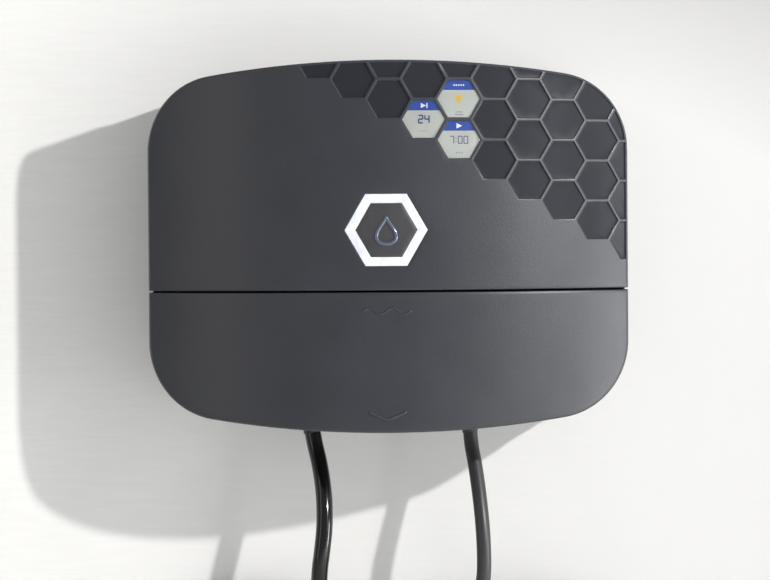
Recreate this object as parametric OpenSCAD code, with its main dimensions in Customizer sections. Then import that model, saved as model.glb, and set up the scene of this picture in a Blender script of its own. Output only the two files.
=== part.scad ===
// Wall-mounted irrigation controller with a removable wiring cover.
// Frame: X to the right and Z up as seen from the front, the wall is the plane Y = 0,
// and the front looks toward -Y. The origin is the middle of the back.

/* [Case] */
// Width of the case
case_w = 250; // [246:1:254]
// Height of the case at its middle
case_h = 189; // [188:0.5:191]
// Distance from the wall to the crown of the front
crown_depth = 100; // [98:1:102]
// Distance from the wall to the front at the left and right sides
rim_depth = 62; // [60:1:64]
// Radius of the bowed top and bottom edges
edge_r = 670; // [640:10:700]
// Radius of the two top corners
top_corner_r = 38.5; // [36:0.5:41]
// Radius of the two bottom corners
bottom_corner_r = 39.5; // [37:0.5:41]
// Depth of the rear housing
housing_depth = 48; // [47:0.5:48.5]
// Thickness of the back of the rear housing
back_t = 3; // [2.6:0.1:3]
// Wall thickness of the rear housing
housing_wall = 2.6; // [2.2:0.1:3]
// Wall thickness of the two covers
cover_wall = 2.4; // [2:0.1:2.8]
// Thickness of the curved front skin
skin = 3; // [2.6:0.1:3.2]
// Distance of the seam between the covers below the middle
seam_drop = 22.7; // [22:0.1:23.5]
// Width of the seam
seam_gap = 1; // [0.6:0.1:1.2]

/* [Honeycomb] */
// Distance between the middles of two cells, flat to flat
cell_pitch = 20.6; // [20.2:0.05:20.9]
// Width of one cell across its flats
cell_size = 18.85; // [18.3:0.05:19]
// Depth of a cell
cell_depth = 1; // [0.6:0.1:1.4]

/* [Light ring and button] */
// Height of the ring's middle above the origin
ring_z = 8.4; // [7:0.1:10]
// Width of the ring across its outer corners
ring_outer = 42; // [41:0.1:43]
// Width of the ring across its inner corners
ring_inner = 31.7; // [31:0.1:32]
// Travel of the button
button_travel = 0.8; // [0.4:0.1:0.8]

/* [Terminals] */
// Distance between two terminals
terminal_pitch = 11; // [10.5:0.1:11]
// Travel of a terminal lever
lever_travel = 2.2; // [1.6:0.1:2.2]

/* [Wall fixing] */
// Distance between the two lower screw holes
screw_spacing = 170; // [160:1:176]
// Radius of a lower screw hole
screw_hole_r = 2.4; // [2:0.1:2.6]

/* [Cords] */
// Diameter of the mains lead
mains_d = 7.7; // [7:0.1:7.8]
// Diameter of the valve cable
valve_d = 8.7; // [8:0.1:8.8]

/* [Hidden] */
$fn = 64;

// Case colours
shell_grey = [0.25, 0.26, 0.28];
housing_grey = [0.16, 0.165, 0.175];
board_green = [0.05, 0.3, 0.16];
steel = [0.72, 0.73, 0.75];
black = [0.06, 0.06, 0.065];

// Shape of the front: an upright cylinder whose axis is behind the wall
half_w = case_w / 2;
half_h = case_h / 2;
bow = crown_depth - rim_depth;
face_r = (half_w * half_w + bow * bow) / (2 * bow);
face_y = face_r - crown_depth;
edge_z = edge_r - half_h;
reach = 120;
clear = 0.3;
fit = 0.1;

// Parting faces
housing_inset = 0.8;
cover_back = housing_depth + 1;
upper_z = -seam_drop + seam_gap / 2;
lower_z = -seam_drop - seam_gap / 2;

// Honeycomb rule: the lowest cell of each column is half a pitch below the one to its left
column_step = cell_pitch * cos(30);
column_x = 37.2;
column_z = 53.9;
first_column = -4;
last_column = 5;
cell_margin = 1.4;

// Windows for the displays: the columns and rows of the cells that they fill
clock_cell = [column_x, column_z];
weather_cell = [column_x, column_z + cell_pitch];
calendar_cell = [column_x - column_step, column_z + cell_pitch / 2];
lens_drop = 0.3;
lens_back = 2.3;
module_back = 6.5;
carrier_back = 8;

// Button and ring depths below the face
ring_depth = 8;
button_gap = 0.35;
flange_t = 1.2;
button_skin = 2.5;
button_board_y = -88.9;
button_board_t = 1.6;
button_board_size = [54, 46];
post_x = 23;
post_z = 19;
switch_size = 6.2;
switch_h = 3.5;
stem_end = 93.6;
plunger_r = 1.7;
plunger_end = 90.5;

// Main board and terminals
board_front = -13.6;
board_t = 1.6;
board_x = [-72, 36];
board_z = [-56, 72];
board_holes = [[-66, 66], [30, 66], [-66.5, -50], [32, -50]];
ways = 8;
terminal_x = -16;
terminal_z = [-52, -32];
terminal_front = -34;
lever_z = -39;
lever_out = 4;
lever_size = [6.2, 7.8];
lever_len = 11;
entry_r = 1.7;
entry_y = -22;
core_r = 1;

// Transformer
transformer_x = 74;
transformer_z = 12;
stack = [48, 20, 40];
stack_y = -8;
window = [8, 24];
leg_w = 16;

// Fixings
cover_screw_at = [[106, 50], [-106, 50], [106, -8], [-106, -8]];
keyhole_z = 76;
screw_z = -60;
peg_x = 107;
peg_z = -46;
peg_r = 3;
shelf_t = 2.4;

// Cord entries in the bottom wall
entry_depth = -34;
mains_entry_x = 42.6;
valve_entry_x = -41.5;
relief_bottom = -97;
relief_seat = -93.3;
relief_top = -80;

// Coils of stored cord, flat against the wall below the case
coil_z = -240;
coil_gap = 1.5;
mains_coil_x = 73;
mains_coil_mean_r = 42;
mains_rows = 3;
mains_row = 8;
valve_coil_x = -69;
valve_coil_mean_r = 45.5;
valve_rows = 2;
valve_row = 9;
tie_w = 12;
tie_t = 1.2;

// Route of the mains lead from its strain relief to its coil
mains_route = [
    [42.6, -34, -97], [43.4, -35.4, -106], [44.8, -38.4, -114], [46.1, -42.4, -123],
    [47.2, -46.2, -132], [48.1, -49.4, -141], [48.8, -51.6, -150], [49.2, -52.8, -160],
    [49.2, -52.6, -170], [48.2, -50.6, -180], [45.5, -46.6, -190], [41.4, -41.2, -200],
    [36.4, -35.2, -210], [31.6, -29.4, -220], [28.3, -24.6, -230], [27, -21.4, -240]
];
// Route of its tail from the coil to the plug
mains_tail_route = [
    [35.0, -29.4, -240], [35.0, -29.9, -248], [35.0, -30.4, -257], [35.0, -30.7, -267],
    [35.0, -30.8, -277], [35.0, -30.8, -287], [35.0, -30.8, -297]
];
plug_at = [35, -30.8, -297];
// Route of the valve cable from its strain relief to its coil
valve_route = [
    [-41.5, -34, -97], [-39.7, -35.4, -106], [-37.7, -38.4, -114], [-36, -42.4, -123],
    [-34.9, -46, -132], [-34.5, -48.8, -141], [-34.8, -50.6, -150], [-35.9, -51.4, -160],
    [-37.2, -50.8, -170], [-37.6, -48.2, -180], [-36, -43.6, -190], [-32.4, -37.6, -200],
    [-27.9, -31, -210], [-23.3, -24.5, -220], [-20.2, -18.5, -230], [-19, -14.9, -240]
];
// Route of its tail from the coil to the bared conductors
valve_tail_route = [
    [-28.0, -23.9, -240], [-28.0, -24.3, -248], [-28.0, -24.6, -257], [-28.0, -24.7, -267],
    [-28.0, -24.7, -277], [-28.0, -24.7, -287], [-28.0, -24.7, -297]
];
core_end_z = -333;

// ---------------------------------------------------------------- helpers

function arc_points(cx, cz, r, a0, a1, n, skip = 0) =
    [for (i = [skip : n - skip]) let (a = a0 + (a1 - a0) * i / n) [cx + r * cos(a), cz + r * sin(a)]];

function corner_x(r) = half_w - r;
function corner_z(r) = sqrt(pow(edge_r - r, 2) - pow(half_w - r, 2)) - edge_z;
function corner_angle(r) = atan2(corner_z(r) + edge_z, corner_x(r));

// One corner arc, from the side wall to the bowed edge, moved inward by d
function corner_arc(r, d, sx, sz) =
    let (n = 10,
         pts = arc_points(corner_x(r), corner_z(r), r - d, 0, corner_angle(r), n))
    [for (i = [0 : n]) let (p = pts[sx * sz > 0 ? i : n - i]) [sx * p[0], sz * p[1]]];

// One bowed edge between its two corners, without its end points
function bowed_edge(r, d, sz) =
    let (n = 12, a = corner_angle(r),
         pts = arc_points(0, -edge_z, edge_r - d, a, 180 - a, n, 1))
    [for (p = pts) [sz * p[0], sz * p[1]]];

// Outline of the case as seen from the front, moved inward by d
function outline(d) = concat(
    corner_arc(top_corner_r, d, 1, 1), bowed_edge(top_corner_r, d, 1),
    corner_arc(top_corner_r, d, -1, 1), corner_arc(bottom_corner_r, d, -1, -1),
    bowed_edge(bottom_corner_r, d, -1), corner_arc(bottom_corner_r, d, 1, -1));

// Drop shape with its point up
function drop_points(w, h) =
    [for (i = [0 : 31]) let (t = i * 360 / 32) [w * sin(t) * pow(sin(t / 2), 1.6), h * cos(t)]];

function bezier(a, b, c, d, t) =
    pow(1 - t, 3) * a + 3 * t * pow(1 - t, 2) * b + 3 * t * t * (1 - t) * c + pow(t, 3) * d;

function bezier_path(a, b, c, d, n) = [for (i = [0 : n]) bezier(a, b, c, d, i / n)];

function unit(v) = v / norm(v);
function tangent(path, i) =
    unit(path[min(i + 1, len(path) - 1)] - path[max(i - 1, 0)]);

// Ring of points around one point of a route that never runs along Y
function tube_ring(path, i, r, sides) =
    let (t = tangent(path, i), u = unit(cross(t, [0, 1, 0])), v = cross(t, u))
    [for (k = [0 : sides - 1]) let (a = 360 * (k + 0.5) / sides) path[i] + r * cos(a) * u + r * sin(a) * v];

// Solid tube swept along a route
module tube(path, r, sides = 8) {
    n = len(path);
    side_faces = [for (i = [0 : n - 2]) for (k = [0 : sides - 1])
        let (a = i * sides + k, b = i * sides + (k + 1) % sides)
        [a, a + sides, b + sides, b]];
    start_face = [for (k = [0 : sides - 1]) k];
    end_face = [for (k = [0 : sides - 1]) n * sides - 1 - k];
    polyhedron(
        points = [for (i = [0 : n - 1]) each tube_ring(path, i, r, sides)],
        faces = concat(side_faces, [start_face, end_face]));
}

// A flat shape in X and Z, made solid from y_rear forward to y_front
module plate(y_rear, y_front) {
    translate([0, y_rear, 0]) rotate([90, 0, 0]) linear_extrude(y_rear - y_front) children();
}

// A box between two corners
module block(low, high) {
    translate(low) cube(high - low);
}

// A round bar along Y
module bar_y(x, z, y_rear, y_front, r) {
    translate([x, y_rear, z]) rotate([90, 0, 0]) cylinder(h = y_rear - y_front, r = r);
}

// Everything behind the curved face, sunk by drop
module behind_face(drop) {
    translate([0, face_y, -150]) cylinder(h = 300, r = face_r - drop, $fn = 160);
}

// The part of the case between two heights, inset all round, forward of y_rear
module case_body(inset, drop, y_rear, z0, z1) {
    intersection() {
        plate(y_rear, -reach) polygon(outline(inset));
        behind_face(drop);
        block([-reach * 2, -reach, z0], [reach * 2, y_rear, z1]);
    }
}

// A shape in X and Z, made solid between two depths below the curved face
module face_layer(front_drop, back_drop) {
    difference() {
        intersection() {
            plate(-cover_back, -reach) children();
            behind_face(front_drop);
        }
        behind_face(back_drop);
    }
}

module hexagon(width_over_corners) {
    circle(d = width_over_corners, $fn = 6);
}

module cell(at, across_flats) {
    translate(at) hexagon(across_flats / cos(30));
}

module ring_hexagon(width_over_corners) {
    translate([0, ring_z]) hexagon(width_over_corners);
}

// A shape of the honeycomb's rule: how many cells a column needs to pass the top edge
function cells_in(n) = floor((half_h + cell_size / 2 - column_z + cell_pitch / 2 * n) / cell_pitch);

function is_window(n, row) = (n == 0 && row < 2) || (n == -1 && row == 0);

module honeycomb() {
    intersection() {
        polygon(outline(cell_margin));
        union() {
            for (n = [first_column : last_column]) {
                for (row = [0 : cells_in(n)]) {
                    if (!is_window(n, row)) {
                        cell([column_x + n * column_step,
                              column_z - n * cell_pitch / 2 + row * cell_pitch], cell_size);
                    }
                }
            }
        }
    }
}

module window_cells(across_flats) {
    cell(clock_cell, across_flats);
    cell(weather_cell, across_flats);
    cell(calendar_cell, across_flats);
}

// ---------------------------------------------------------------- case

module back_housing() {
    inner = housing_inset + housing_wall;
    color(housing_grey) difference() {
        union() {
            difference() {
                plate(0, -housing_depth) polygon(outline(housing_inset));
                plate(-back_t, -reach) polygon(outline(inner));
            }
            housing_shelf(inner);
            for (at = cover_screw_at) bar_y(at[0], at[1], -1, -cover_back, 5);
            for (at = board_holes) bar_y(at[0], at[1], -1, board_front + board_t, 3.5);
            for (side = [-1, 1]) {
                bar_y(side * screw_spacing / 2, screw_z, -1, -6, 6);
                bar_y(side * peg_x, peg_z, -1, -housing_depth + 1, 5.6);
            }
            bar_y(0, keyhole_z + 3, -1, -9, 10);
            entry_pad(mains_entry_x);
            entry_pad(valve_entry_x);
        }
        for (at = cover_screw_at) {
            bar_y(at[0], at[1], 1, -cover_back - 1, 1.9);
            bar_y(at[0], at[1], 1, -6, 4);
        }
        for (at = board_holes) bar_y(at[0], at[1], -4, board_front, 1.2);
        for (side = [-1, 1]) {
            bar_y(side * screw_spacing / 2, screw_z, 1, -7, screw_hole_r);
            bar_y(side * peg_x, peg_z, -8, -housing_depth, peg_r + clear);
        }
        keyhole();
        entry_hole(mains_entry_x);
        entry_hole(valve_entry_x);
    }
}

// Shelf between the electronics and the wiring, slotted for the board and the mains cores
module housing_shelf(inner) {
    shelf_z = -seam_drop - shelf_t / 2 + 0.2;
    difference() {
        intersection() {
            plate(-back_t + 1, -housing_depth + 1) polygon(outline(inner - 1));
            block([-half_w, -housing_depth, shelf_z], [half_w, 0, shelf_z + shelf_t]);
        }
        block([board_x[0] - 1, board_front - 6, shelf_z - 1],
              [board_x[1] + 1, board_front + board_t + 1, shelf_z + shelf_t + 1]);
        translate([54, -30, shelf_z - 1]) cylinder(h = shelf_t + 2, r = 6);
    }
}

module entry_pad(x) {
    intersection() {
        plate(-back_t, -housing_depth + 1) polygon(outline(housing_inset + 1));
        block([x - 10, entry_depth - 10, -half_h], [x + 10, entry_depth + 10, -88]);
    }
}

module entry_hole(x) {
    translate([x, entry_depth, -half_h - 5]) cylinder(h = 20, r = 6);
}

// Keyhole for the top wall screw, with a pocket for the screw's head behind it
module keyhole() {
    bar_y(0, keyhole_z, 1, -back_t - 1, 4.6);
    bar_y(0, keyhole_z + 7, 1, -back_t - 1, 2.3);
    block([-2.3, -back_t - 1, keyhole_z], [2.3, 1, keyhole_z + 7]);
    bar_y(0, keyhole_z + 3, -back_t, -7.5, 8.2);
}

module upper_front_cover() {
    color(shell_grey) difference() {
        union() {
            difference() {
                case_body(0, 0, -cover_back, upper_z, half_h + 1);
                case_body(cover_wall, skin, -cover_back + 1, upper_z + cover_wall, half_h + 1);
            }
            intersection() {
                case_body(1, 1, -cover_back, upper_z, half_h);
                union() {
                    for (at = cover_screw_at) bar_y(at[0], at[1], -cover_back, -reach, 5);
                    for (sx = [-1, 1], sz = [-1, 1]) {
                        bar_y(sx * post_x, ring_z + sz * post_z, button_board_y, -reach, 2.6);
                    }
                }
            }
        }
        for (at = cover_screw_at) bar_y(at[0], at[1], -cover_back + 1, -66, 1.8);
        for (sx = [-1, 1], sz = [-1, 1]) {
            bar_y(sx * post_x, ring_z + sz * post_z, button_board_y + 1, -94.5, 1);
        }
        face_layer(-5, cell_depth) honeycomb();
        plate(-cover_back, -reach) ring_hexagon(ring_outer + 2 * fit);
        plate(-cover_back, -reach) window_cells(cell_size);
    }
}

module wiring_cover() {
    color(shell_grey) difference() {
        union() {
            difference() {
                case_body(0, 0, -cover_back - clear, -half_h - 1, lower_z);
                case_body(cover_wall, skin, -cover_back + 1, -half_h - 1, lower_z - cover_wall);
            }
            intersection() {
                case_body(1, 1, -cover_back - clear, -half_h, lower_z);
                for (side = [-1, 1]) bar_y(side * peg_x, peg_z, 0, -reach, 6);
            }
            for (side = [-1, 1]) bar_y(side * peg_x, peg_z, -24, -60, peg_r);
        }
        pull_mark();
    }
}

// Shallow chevron that shows where the cover is pulled
module pull_mark() {
    mark_z = -86;
    face_layer(-5, 0.5) polygon([
        [-9, mark_z + 1.5], [0, mark_z - 2.5], [9, mark_z + 1.5],
        [9, mark_z + 3], [0, mark_z - 1], [-9, mark_z + 3]]);
}

module housing_gasket() {
    color(black) plate(-housing_depth, -cover_back) difference() {
        polygon(outline(housing_inset + 0.4));
        polygon(outline(housing_inset + 2.4));
    }
}

module cover_screws() {
    color(steel) for (at = cover_screw_at) {
        difference() {
            union() {
                bar_y(at[0], at[1], -3, -6, 3.6);
                bar_y(at[0], at[1], -5, -64, 1.7);
            }
            translate([at[0], -2, at[1]]) rotate([90, 0, 0]) cylinder(h = 2.6, r = 1.6, $fn = 6);
        }
    }
}

// ---------------------------------------------------------------- light ring and button

module light_ring() {
    color([0.93, 0.96, 1]) union() {
        face_layer(0, ring_depth) difference() {
            ring_hexagon(ring_outer);
            ring_hexagon(ring_inner);
        }
        face_layer(skin, skin + 2) difference() {
            ring_hexagon(ring_outer + 4);
            ring_hexagon(ring_inner);
        }
    }
}

module status_button() {
    button_w = ring_inner - 2 * button_gap / cos(30);
    color([0.17, 0.175, 0.19]) difference() {
        union() {
            face_layer(0, ring_depth + clear + flange_t) ring_hexagon(button_w);
            face_layer(ring_depth + clear, ring_depth + clear + flange_t) ring_hexagon(button_w + 2.5);
        }
        difference() {
            face_layer(button_skin, ring_depth + 4) ring_hexagon(button_w - 4);
            bar_y(0, ring_z, -stem_end, -reach, 2.5);
        }
        face_layer(-5, 0.5) translate([0, ring_z]) polygon(drop_points(6.6, 7.2));
    }
}

module switch_plunger() {
    color([0.85, 0.8, 0.6]) bar_y(0, ring_z, -plunger_end, -stem_end, plunger_r);
}

module tact_switch() {
    half = switch_size / 2;
    color(black) difference() {
        block([-half, button_board_y - switch_h, ring_z - half], [half, button_board_y, ring_z + half]);
        bar_y(0, ring_z, -plunger_end + button_travel + clear, -reach, plunger_r + 0.08);
    }
}

module button_board() {
    w = button_board_size[0] / 2;
    h = button_board_size[1] / 2;
    color(board_green) difference() {
        block([-w, button_board_y, ring_z - h], [w, button_board_y + button_board_t, ring_z + h]);
        for (sx = [-1, 1], sz = [-1, 1]) {
            bar_y(sx * post_x, ring_z + sz * post_z, 0, -reach, 1.3);
        }
    }
}

module ring_leds() {
    side = (ring_outer + ring_inner) / 4;
    color([1, 1, 0.85]) for (k = [0 : 5], step = [0.28, 0.72]) {
        a = [side * cos(60 * k), side * sin(60 * k)];
        b = [side * cos(60 * k + 60), side * sin(60 * k + 60)];
        p = a + (b - a) * step;
        translate([p[0], button_board_y, ring_z + p[1]])
            rotate([0, -60 * k - 30, 0]) translate([-0.8, -1.2, -1]) cube([1.6, 1.2, 2]);
    }
}

// ---------------------------------------------------------------- displays

module display_lens(at) {
    color([0.85, 0.88, 0.9]) face_layer(lens_drop, lens_back) cell(at, cell_size - 2 * fit);
}

module weather_lens() {
    display_lens(weather_cell);
}

module clock_lens() {
    display_lens(clock_cell);
}

module calendar_lens() {
    display_lens(calendar_cell);
}

module display_modules() {
    color([0.8, 0.82, 0.84]) face_layer(lens_back, module_back) window_cells(cell_size - 2 * fit);
}

module display_carrier() {
    color(black) difference() {
        face_layer(skin, carrier_back) window_cells(cell_size + 6);
        face_layer(skin - 1, module_back) window_cells(cell_size);
    }
}

// ---------------------------------------------------------------- electronics

module main_board() {
    color(board_green) difference() {
        block([board_x[0], board_front, board_z[0]], [board_x[1], board_front + board_t, board_z[1]]);
        for (at = board_holes) bar_y(at[0], at[1], 0, -20, 1.6);
    }
}

// A pan-head screw that holds something down toward the wall
module small_screw(x, z, seat_y, length, head_r = 2.8, shank_r = 1.1) {
    bar_y(x, z, seat_y, seat_y - 2, head_r);
    bar_y(x, z, seat_y + length, seat_y - 1, shank_r);
}

module inner_screws() {
    color(steel) {
        for (at = board_holes) small_screw(at[0], at[1], board_front, 8);
        for (side = [-1, 1]) small_screw(transformer_x + side * 29, transformer_z, -back_t - 1.4, 1.4);
        for (sx = [-1, 1], sz = [-1, 1]) {
            translate([0, 2 * button_board_y + button_board_t, 0]) mirror([0, 1, 0])
                small_screw(sx * post_x, ring_z + sz * post_z, button_board_y, 6, 2, 0.9);
        }
    }
}

// A flat cable in the plane x = constant, bowed between two points given as [y, z]
function cable_point(a, b, bulge, t) = a + (b - a) * t + [0, bulge * sin(180 * t)];

module flat_cable(x, w, a, b, bulge, thickness) {
    n = 14;
    top = [for (i = [0 : n]) cable_point(a, b, bulge, i / n)];
    low = [for (i = [n : -1 : 0]) cable_point(a, b, bulge, i / n) + thickness];
    translate([x - w / 2, 0, 0]) rotate([90, 0, 90]) linear_extrude(w) polygon(concat(top, low));
}

module ribbon_cables() {
    color([0.6, 0.6, 0.58]) {
        flat_cable(-8, 16, [-20, 51.4], [-81.3, 24.4], -14, [0, -0.8]);
        flat_cable(12, 10, [-84.3, 28], [-91.2, 62], 0, [0.5, 0]);
    }
}

module ribbon_sockets() {
    color(black) {
        block([-18, -20, 47], [2, board_front, 55]);
        block([-18, button_board_y + button_board_t, 20], [2, -81.3, 28]);
        block([5, button_board_y + button_board_t, 20], [19, -81.3, 28]);
    }
}

module logic_chips() {
    color([0.09, 0.09, 0.1]) {
        block([-40, board_front - 1.6, 18], [-26, board_front, 32]);
        block([-14, board_front - 1.4, 20], [-6, board_front, 28]);
        block([-60, board_front - 1.4, 4], [-52, board_front, 9]);
        block([-44, board_front - 1.4, 4], [-36, board_front, 9]);
    }
}

module transformer_core() {
    color([0.42, 0.42, 0.44]) difference() {
        translate([transformer_x - stack[0] / 2, stack_y - stack[1], transformer_z - stack[2] / 2])
            cube(stack);
        for (side = [-1, 1]) {
            translate([transformer_x + side * (leg_w + window[0]) / 2 - window[0] / 2,
                       stack_y - stack[1] - 1, transformer_z - window[1] / 2])
                cube([window[0], stack[1] + 2, window[1]]);
        }
    }
}

module transformer_winding() {
    w = leg_w / 2 + window[0] - fit;
    h = window[1] / 2 - fit;
    color([0.8, 0.72, 0.45]) difference() {
        block([transformer_x - w, stack_y - stack[1] - 6, transformer_z - h],
              [transformer_x + w, stack_y + 4, transformer_z + h]);
        block([transformer_x - leg_w / 2 - fit, stack_y - stack[1] - fit, transformer_z - 30],
              [transformer_x + leg_w / 2 + fit, stack_y + fit, transformer_z + 30]);
    }
}

// Strap over the core, with a foot on each side
module transformer_bracket() {
    t = 1.4;
    half = stack[0] / 2;
    front = stack_y - stack[1];
    band = [14, 19];
    color(steel) difference() {
        union() {
            block([transformer_x - half - t, front - t, transformer_z + band[0]],
                  [transformer_x + half + t, front, transformer_z + band[1]]);
            for (side = [-1, 1]) {
                x = transformer_x + side * (half + t / 2);
                block([x - t / 2, front - t, transformer_z - 6], [x + t / 2, -back_t, transformer_z + band[1]]);
                foot = transformer_x + side * (half + 4.6);
                block([foot - 4.6, -back_t - t, transformer_z - 6], [foot + 4.6, -back_t, transformer_z + 6]);
            }
        }
        for (side = [-1, 1]) bar_y(transformer_x + side * 29, transformer_z, 0, -10, 1.3);
    }
}

module fuse_holder() {
    color(black) difference() {
        block([2, board_front - 7, 2], [30, board_front, 11]);
        block([4, board_front - 8, 3.2], [28, board_front - 1.4, 9.8]);
    }
}

module fuse_link() {
    color(steel) translate([4.1, board_front - 4.6, 6.5]) rotate([0, 90, 0]) union() {
        cylinder(h = 5, r = 2.6);
        translate([0, 0, 18.8]) cylinder(h = 5, r = 2.6);
        translate([0, 0, 4]) cylinder(h = 16, r = 2.4);
    }
}

module filter_capacitors() {
    color([0.1, 0.12, 0.2]) for (at = [[8, 26], [24, 26], [24, 42]]) {
        bar_y(at[0], at[1], board_front, board_front - 20, 6.2);
    }
}

module triacs() {
    color(black) for (i = [0 : ways - 1]) {
        x = terminal_x + (i - (ways - 1) / 2) * 8;
        block([x - 2.4, board_front - 8, -12], [x + 2.4, board_front, -8.2]);
    }
}

module radio_module() {
    color(steel) block([-66, board_front - 3, 30], [-48, board_front, 54]);
}

// Folded strip antenna standing on the board
module radio_antenna() {
    color([0.85, 0.65, 0.3]) difference() {
        block([-68, board_front - 9, 60], [-44, board_front, 60.8]);
        for (x = [-64, -58, -52]) block([x, board_front - 6, 59], [x + 3, board_front - 1.5, 62]);
    }
}

module coin_cell() {
    color(steel) bar_y(-30, 58, board_front - 1.2, board_front - 4.4, 8);
}

module cell_holder() {
    color(black) difference() {
        bar_y(-30, 58, board_front, board_front - 3.6, 10);
        bar_y(-30, 58, board_front - 1.2, board_front - 9, 8 + fit);
    }
}

// ---------------------------------------------------------------- wiring compartment

function way_x(i) = terminal_x + (i - (ways + 1) / 2) * terminal_pitch;

module terminal_block() {
    half = ways * terminal_pitch / 2;
    color([0.12, 0.35, 0.2]) difference() {
        block([terminal_x - half, terminal_front, terminal_z[0]],
              [terminal_x + half, board_front, terminal_z[1]]);
        for (i = [1 : ways]) {
            x = way_x(i);
            w = lever_size[0] / 2 + clear;
            h = lever_size[1] / 2 + clear;
            block([x - w, terminal_front - 1, lever_z - h],
                  [x + w, terminal_front + lever_len - lever_out + lever_travel + 0.4, lever_z + h]);
            block([x - 2.6, -24, -44], [x + 2.6, -16, -36]);
            translate([x, entry_y, terminal_z[0] - 1]) cylinder(h = 9, r = entry_r);
        }
    }
}

// Bent leaf springs that clamp the wire ends
module clamp_springs() {
    leaf = [[-22.8, -37], [-17, -37], [-17, -42.6], [-22.6, -42.6], [-22.6, -42.2],
            [-17.4, -42.2], [-17.4, -37.4], [-22.8, -37.4]];
    color(steel) for (i = [1 : ways]) {
        translate([way_x(i) - 2.2, 0, 0]) rotate([90, 0, 90]) linear_extrude(4.4) polygon(leaf);
    }
}

// Sprung lever that opens one terminal, with a dimple for a screwdriver tip
module terminal_lever(i) {
    w = lever_size[0] / 2;
    h = lever_size[1] / 2;
    color([0.9, 0.45, 0.1]) difference() {
        block([way_x(i) - w, terminal_front - lever_out, lever_z - h],
              [way_x(i) + w, terminal_front - lever_out + lever_len, lever_z + h]);
        bar_y(way_x(i), lever_z, terminal_front - lever_out + 1, -reach, 1.8);
    }
}

module terminal_lever_1() { terminal_lever(1); }
module terminal_lever_2() { terminal_lever(2); }
module terminal_lever_3() { terminal_lever(3); }
module terminal_lever_4() { terminal_lever(4); }
module terminal_lever_5() { terminal_lever(5); }
module terminal_lever_6() { terminal_lever(6); }
module terminal_lever_7() { terminal_lever(7); }
module terminal_lever_8() { terminal_lever(8); }

// Where core i of the valve cable leaves the sheath: two staggered rows
function core_start(i, x, y, z) =
    [x + (floor((i - 1) / 2) - 1.5) * 2.4, y + (i % 2 == 0 ? 1.3 : -1.3), z];

module valve_conductors() {
    color([0.7, 0.2, 0.15]) for (i = [1 : ways]) {
        a = core_start(i, valve_entry_x, entry_depth, relief_top);
        d = [way_x(i), entry_y, terminal_z[0] + 1];
        row_side = i % 2 == 0 ? 3 : -3;
        bend = bezier_path(a + [0, 0, 2], a + [0, row_side, 13], d + [0, row_side, -17], d, 9);
        tube(concat([a], bend), core_r);
    }
}

module mains_cores() {
    color([0.15, 0.15, 0.16]) for (k = [-1, 0, 1]) {
        a = [mains_entry_x + k * 2.9, entry_depth, relief_top];
        b = [54 + k * 2.9, -30, -24];
        c = [transformer_x - 10 + k * 5, stack_y - stack[1] - 3, transformer_z - window[1] / 2 + fit];
        up = bezier_path(a + [0, 0, 2], a + [0, 0, 24], b - [0, 0, 20], b, 8);
        on = bezier_path(b, b + [0, 0, 10], c - [0, 0, 10], c - [0, 0, 2], 6);
        tube(concat([a], up, [for (i = [1 : 6]) on[i]], [c]), 1.35);
    }
}

// Guard over the mains cores
module mains_guard() {
    wall = 1.4;
    low = [32.6, -41, -84];
    high = [66, -16, -26];
    color([0.2, 0.2, 0.21]) difference() {
        block(low, high);
        block(low + [wall, wall, -1], high + [-wall, 1, 1]);
    }
}

// Strain relief clamped in the bottom wall
module strain_relief(x, cord_d) {
    r = cord_d / 2;
    color(black) translate([x, entry_depth, 0]) rotate_extrude() polygon([
        [0, relief_bottom], [7, relief_bottom], [7, relief_seat], [5.9, relief_seat], [5.9, -88],
        [8.4, -88], [8.4, -86], [r + 2.2, -86], [r + 0.8, relief_top], [0, relief_top]]);
}

module mains_strain_relief() {
    strain_relief(mains_entry_x, mains_d);
}

module valve_strain_relief() {
    strain_relief(valve_entry_x, valve_d);
}

// ---------------------------------------------------------------- cords

module mains_lead() {
    color(black) tube(mains_route, mains_d / 2, 10);
}

module mains_tail() {
    color(black) tube(mains_tail_route, mains_d / 2, 10);
}

module valve_cable() {
    color(black) tube(valve_route, valve_d / 2, 10);
}

module valve_tail() {
    color(black) tube(valve_tail_route, valve_d / 2, 10);
}

// Depth of a coil: its rows, and one more where the last turn crosses over the front
function coil_depth(d, row, rows) = row * rows + d;

// Outer shape of a coil of two columns of turns, flat against the wall
module coil(x, mean_r, d, row, rows) {
    depth = coil_depth(d, row, rows);
    half = row / 2 + d / 2;
    bevel = d / 3;
    translate([x, -coil_gap - depth, coil_z]) rotate([-90, 0, 0]) rotate_extrude($fn = 96)
        translate([mean_r, 0]) polygon([
            [-half + bevel, 0], [half - bevel, 0], [half, bevel], [half, depth - bevel],
            [half - bevel, depth], [-half + bevel, depth], [-half, depth - bevel], [-half, bevel]]);
}

module mains_coil() {
    color(black) coil(mains_coil_x, mains_coil_mean_r, mains_d, mains_row, mains_rows);
}

module valve_coil() {
    color(black) coil(valve_coil_x, valve_coil_mean_r, valve_d, valve_row, valve_rows);
}

// Band around all the turns at the bottom of a coil
module tie(x, mean_r, d, row, rows) {
    half = row / 2 + d / 2 + 0.2;
    at = coil_z - mean_r;
    low = [x - tie_w / 2, -coil_gap - coil_depth(d, row, rows) - 0.1, at - half];
    high = [x + tie_w / 2, -coil_gap + 0.1, at + half];
    difference() {
        block(low - [0, tie_t, tie_t], high + [0, tie_t, tie_t]);
        block(low - [1, 0, 0], high + [1, 0, 0]);
    }
}

module mains_tie() {
    color([0.1, 0.1, 0.1]) tie(mains_coil_x, mains_coil_mean_r, mains_d, mains_row, mains_rows);
}

module valve_tie() {
    color([0.1, 0.1, 0.1]) tie(valve_coil_x, valve_coil_mean_r, valve_d, valve_row, valve_rows);
}

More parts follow.
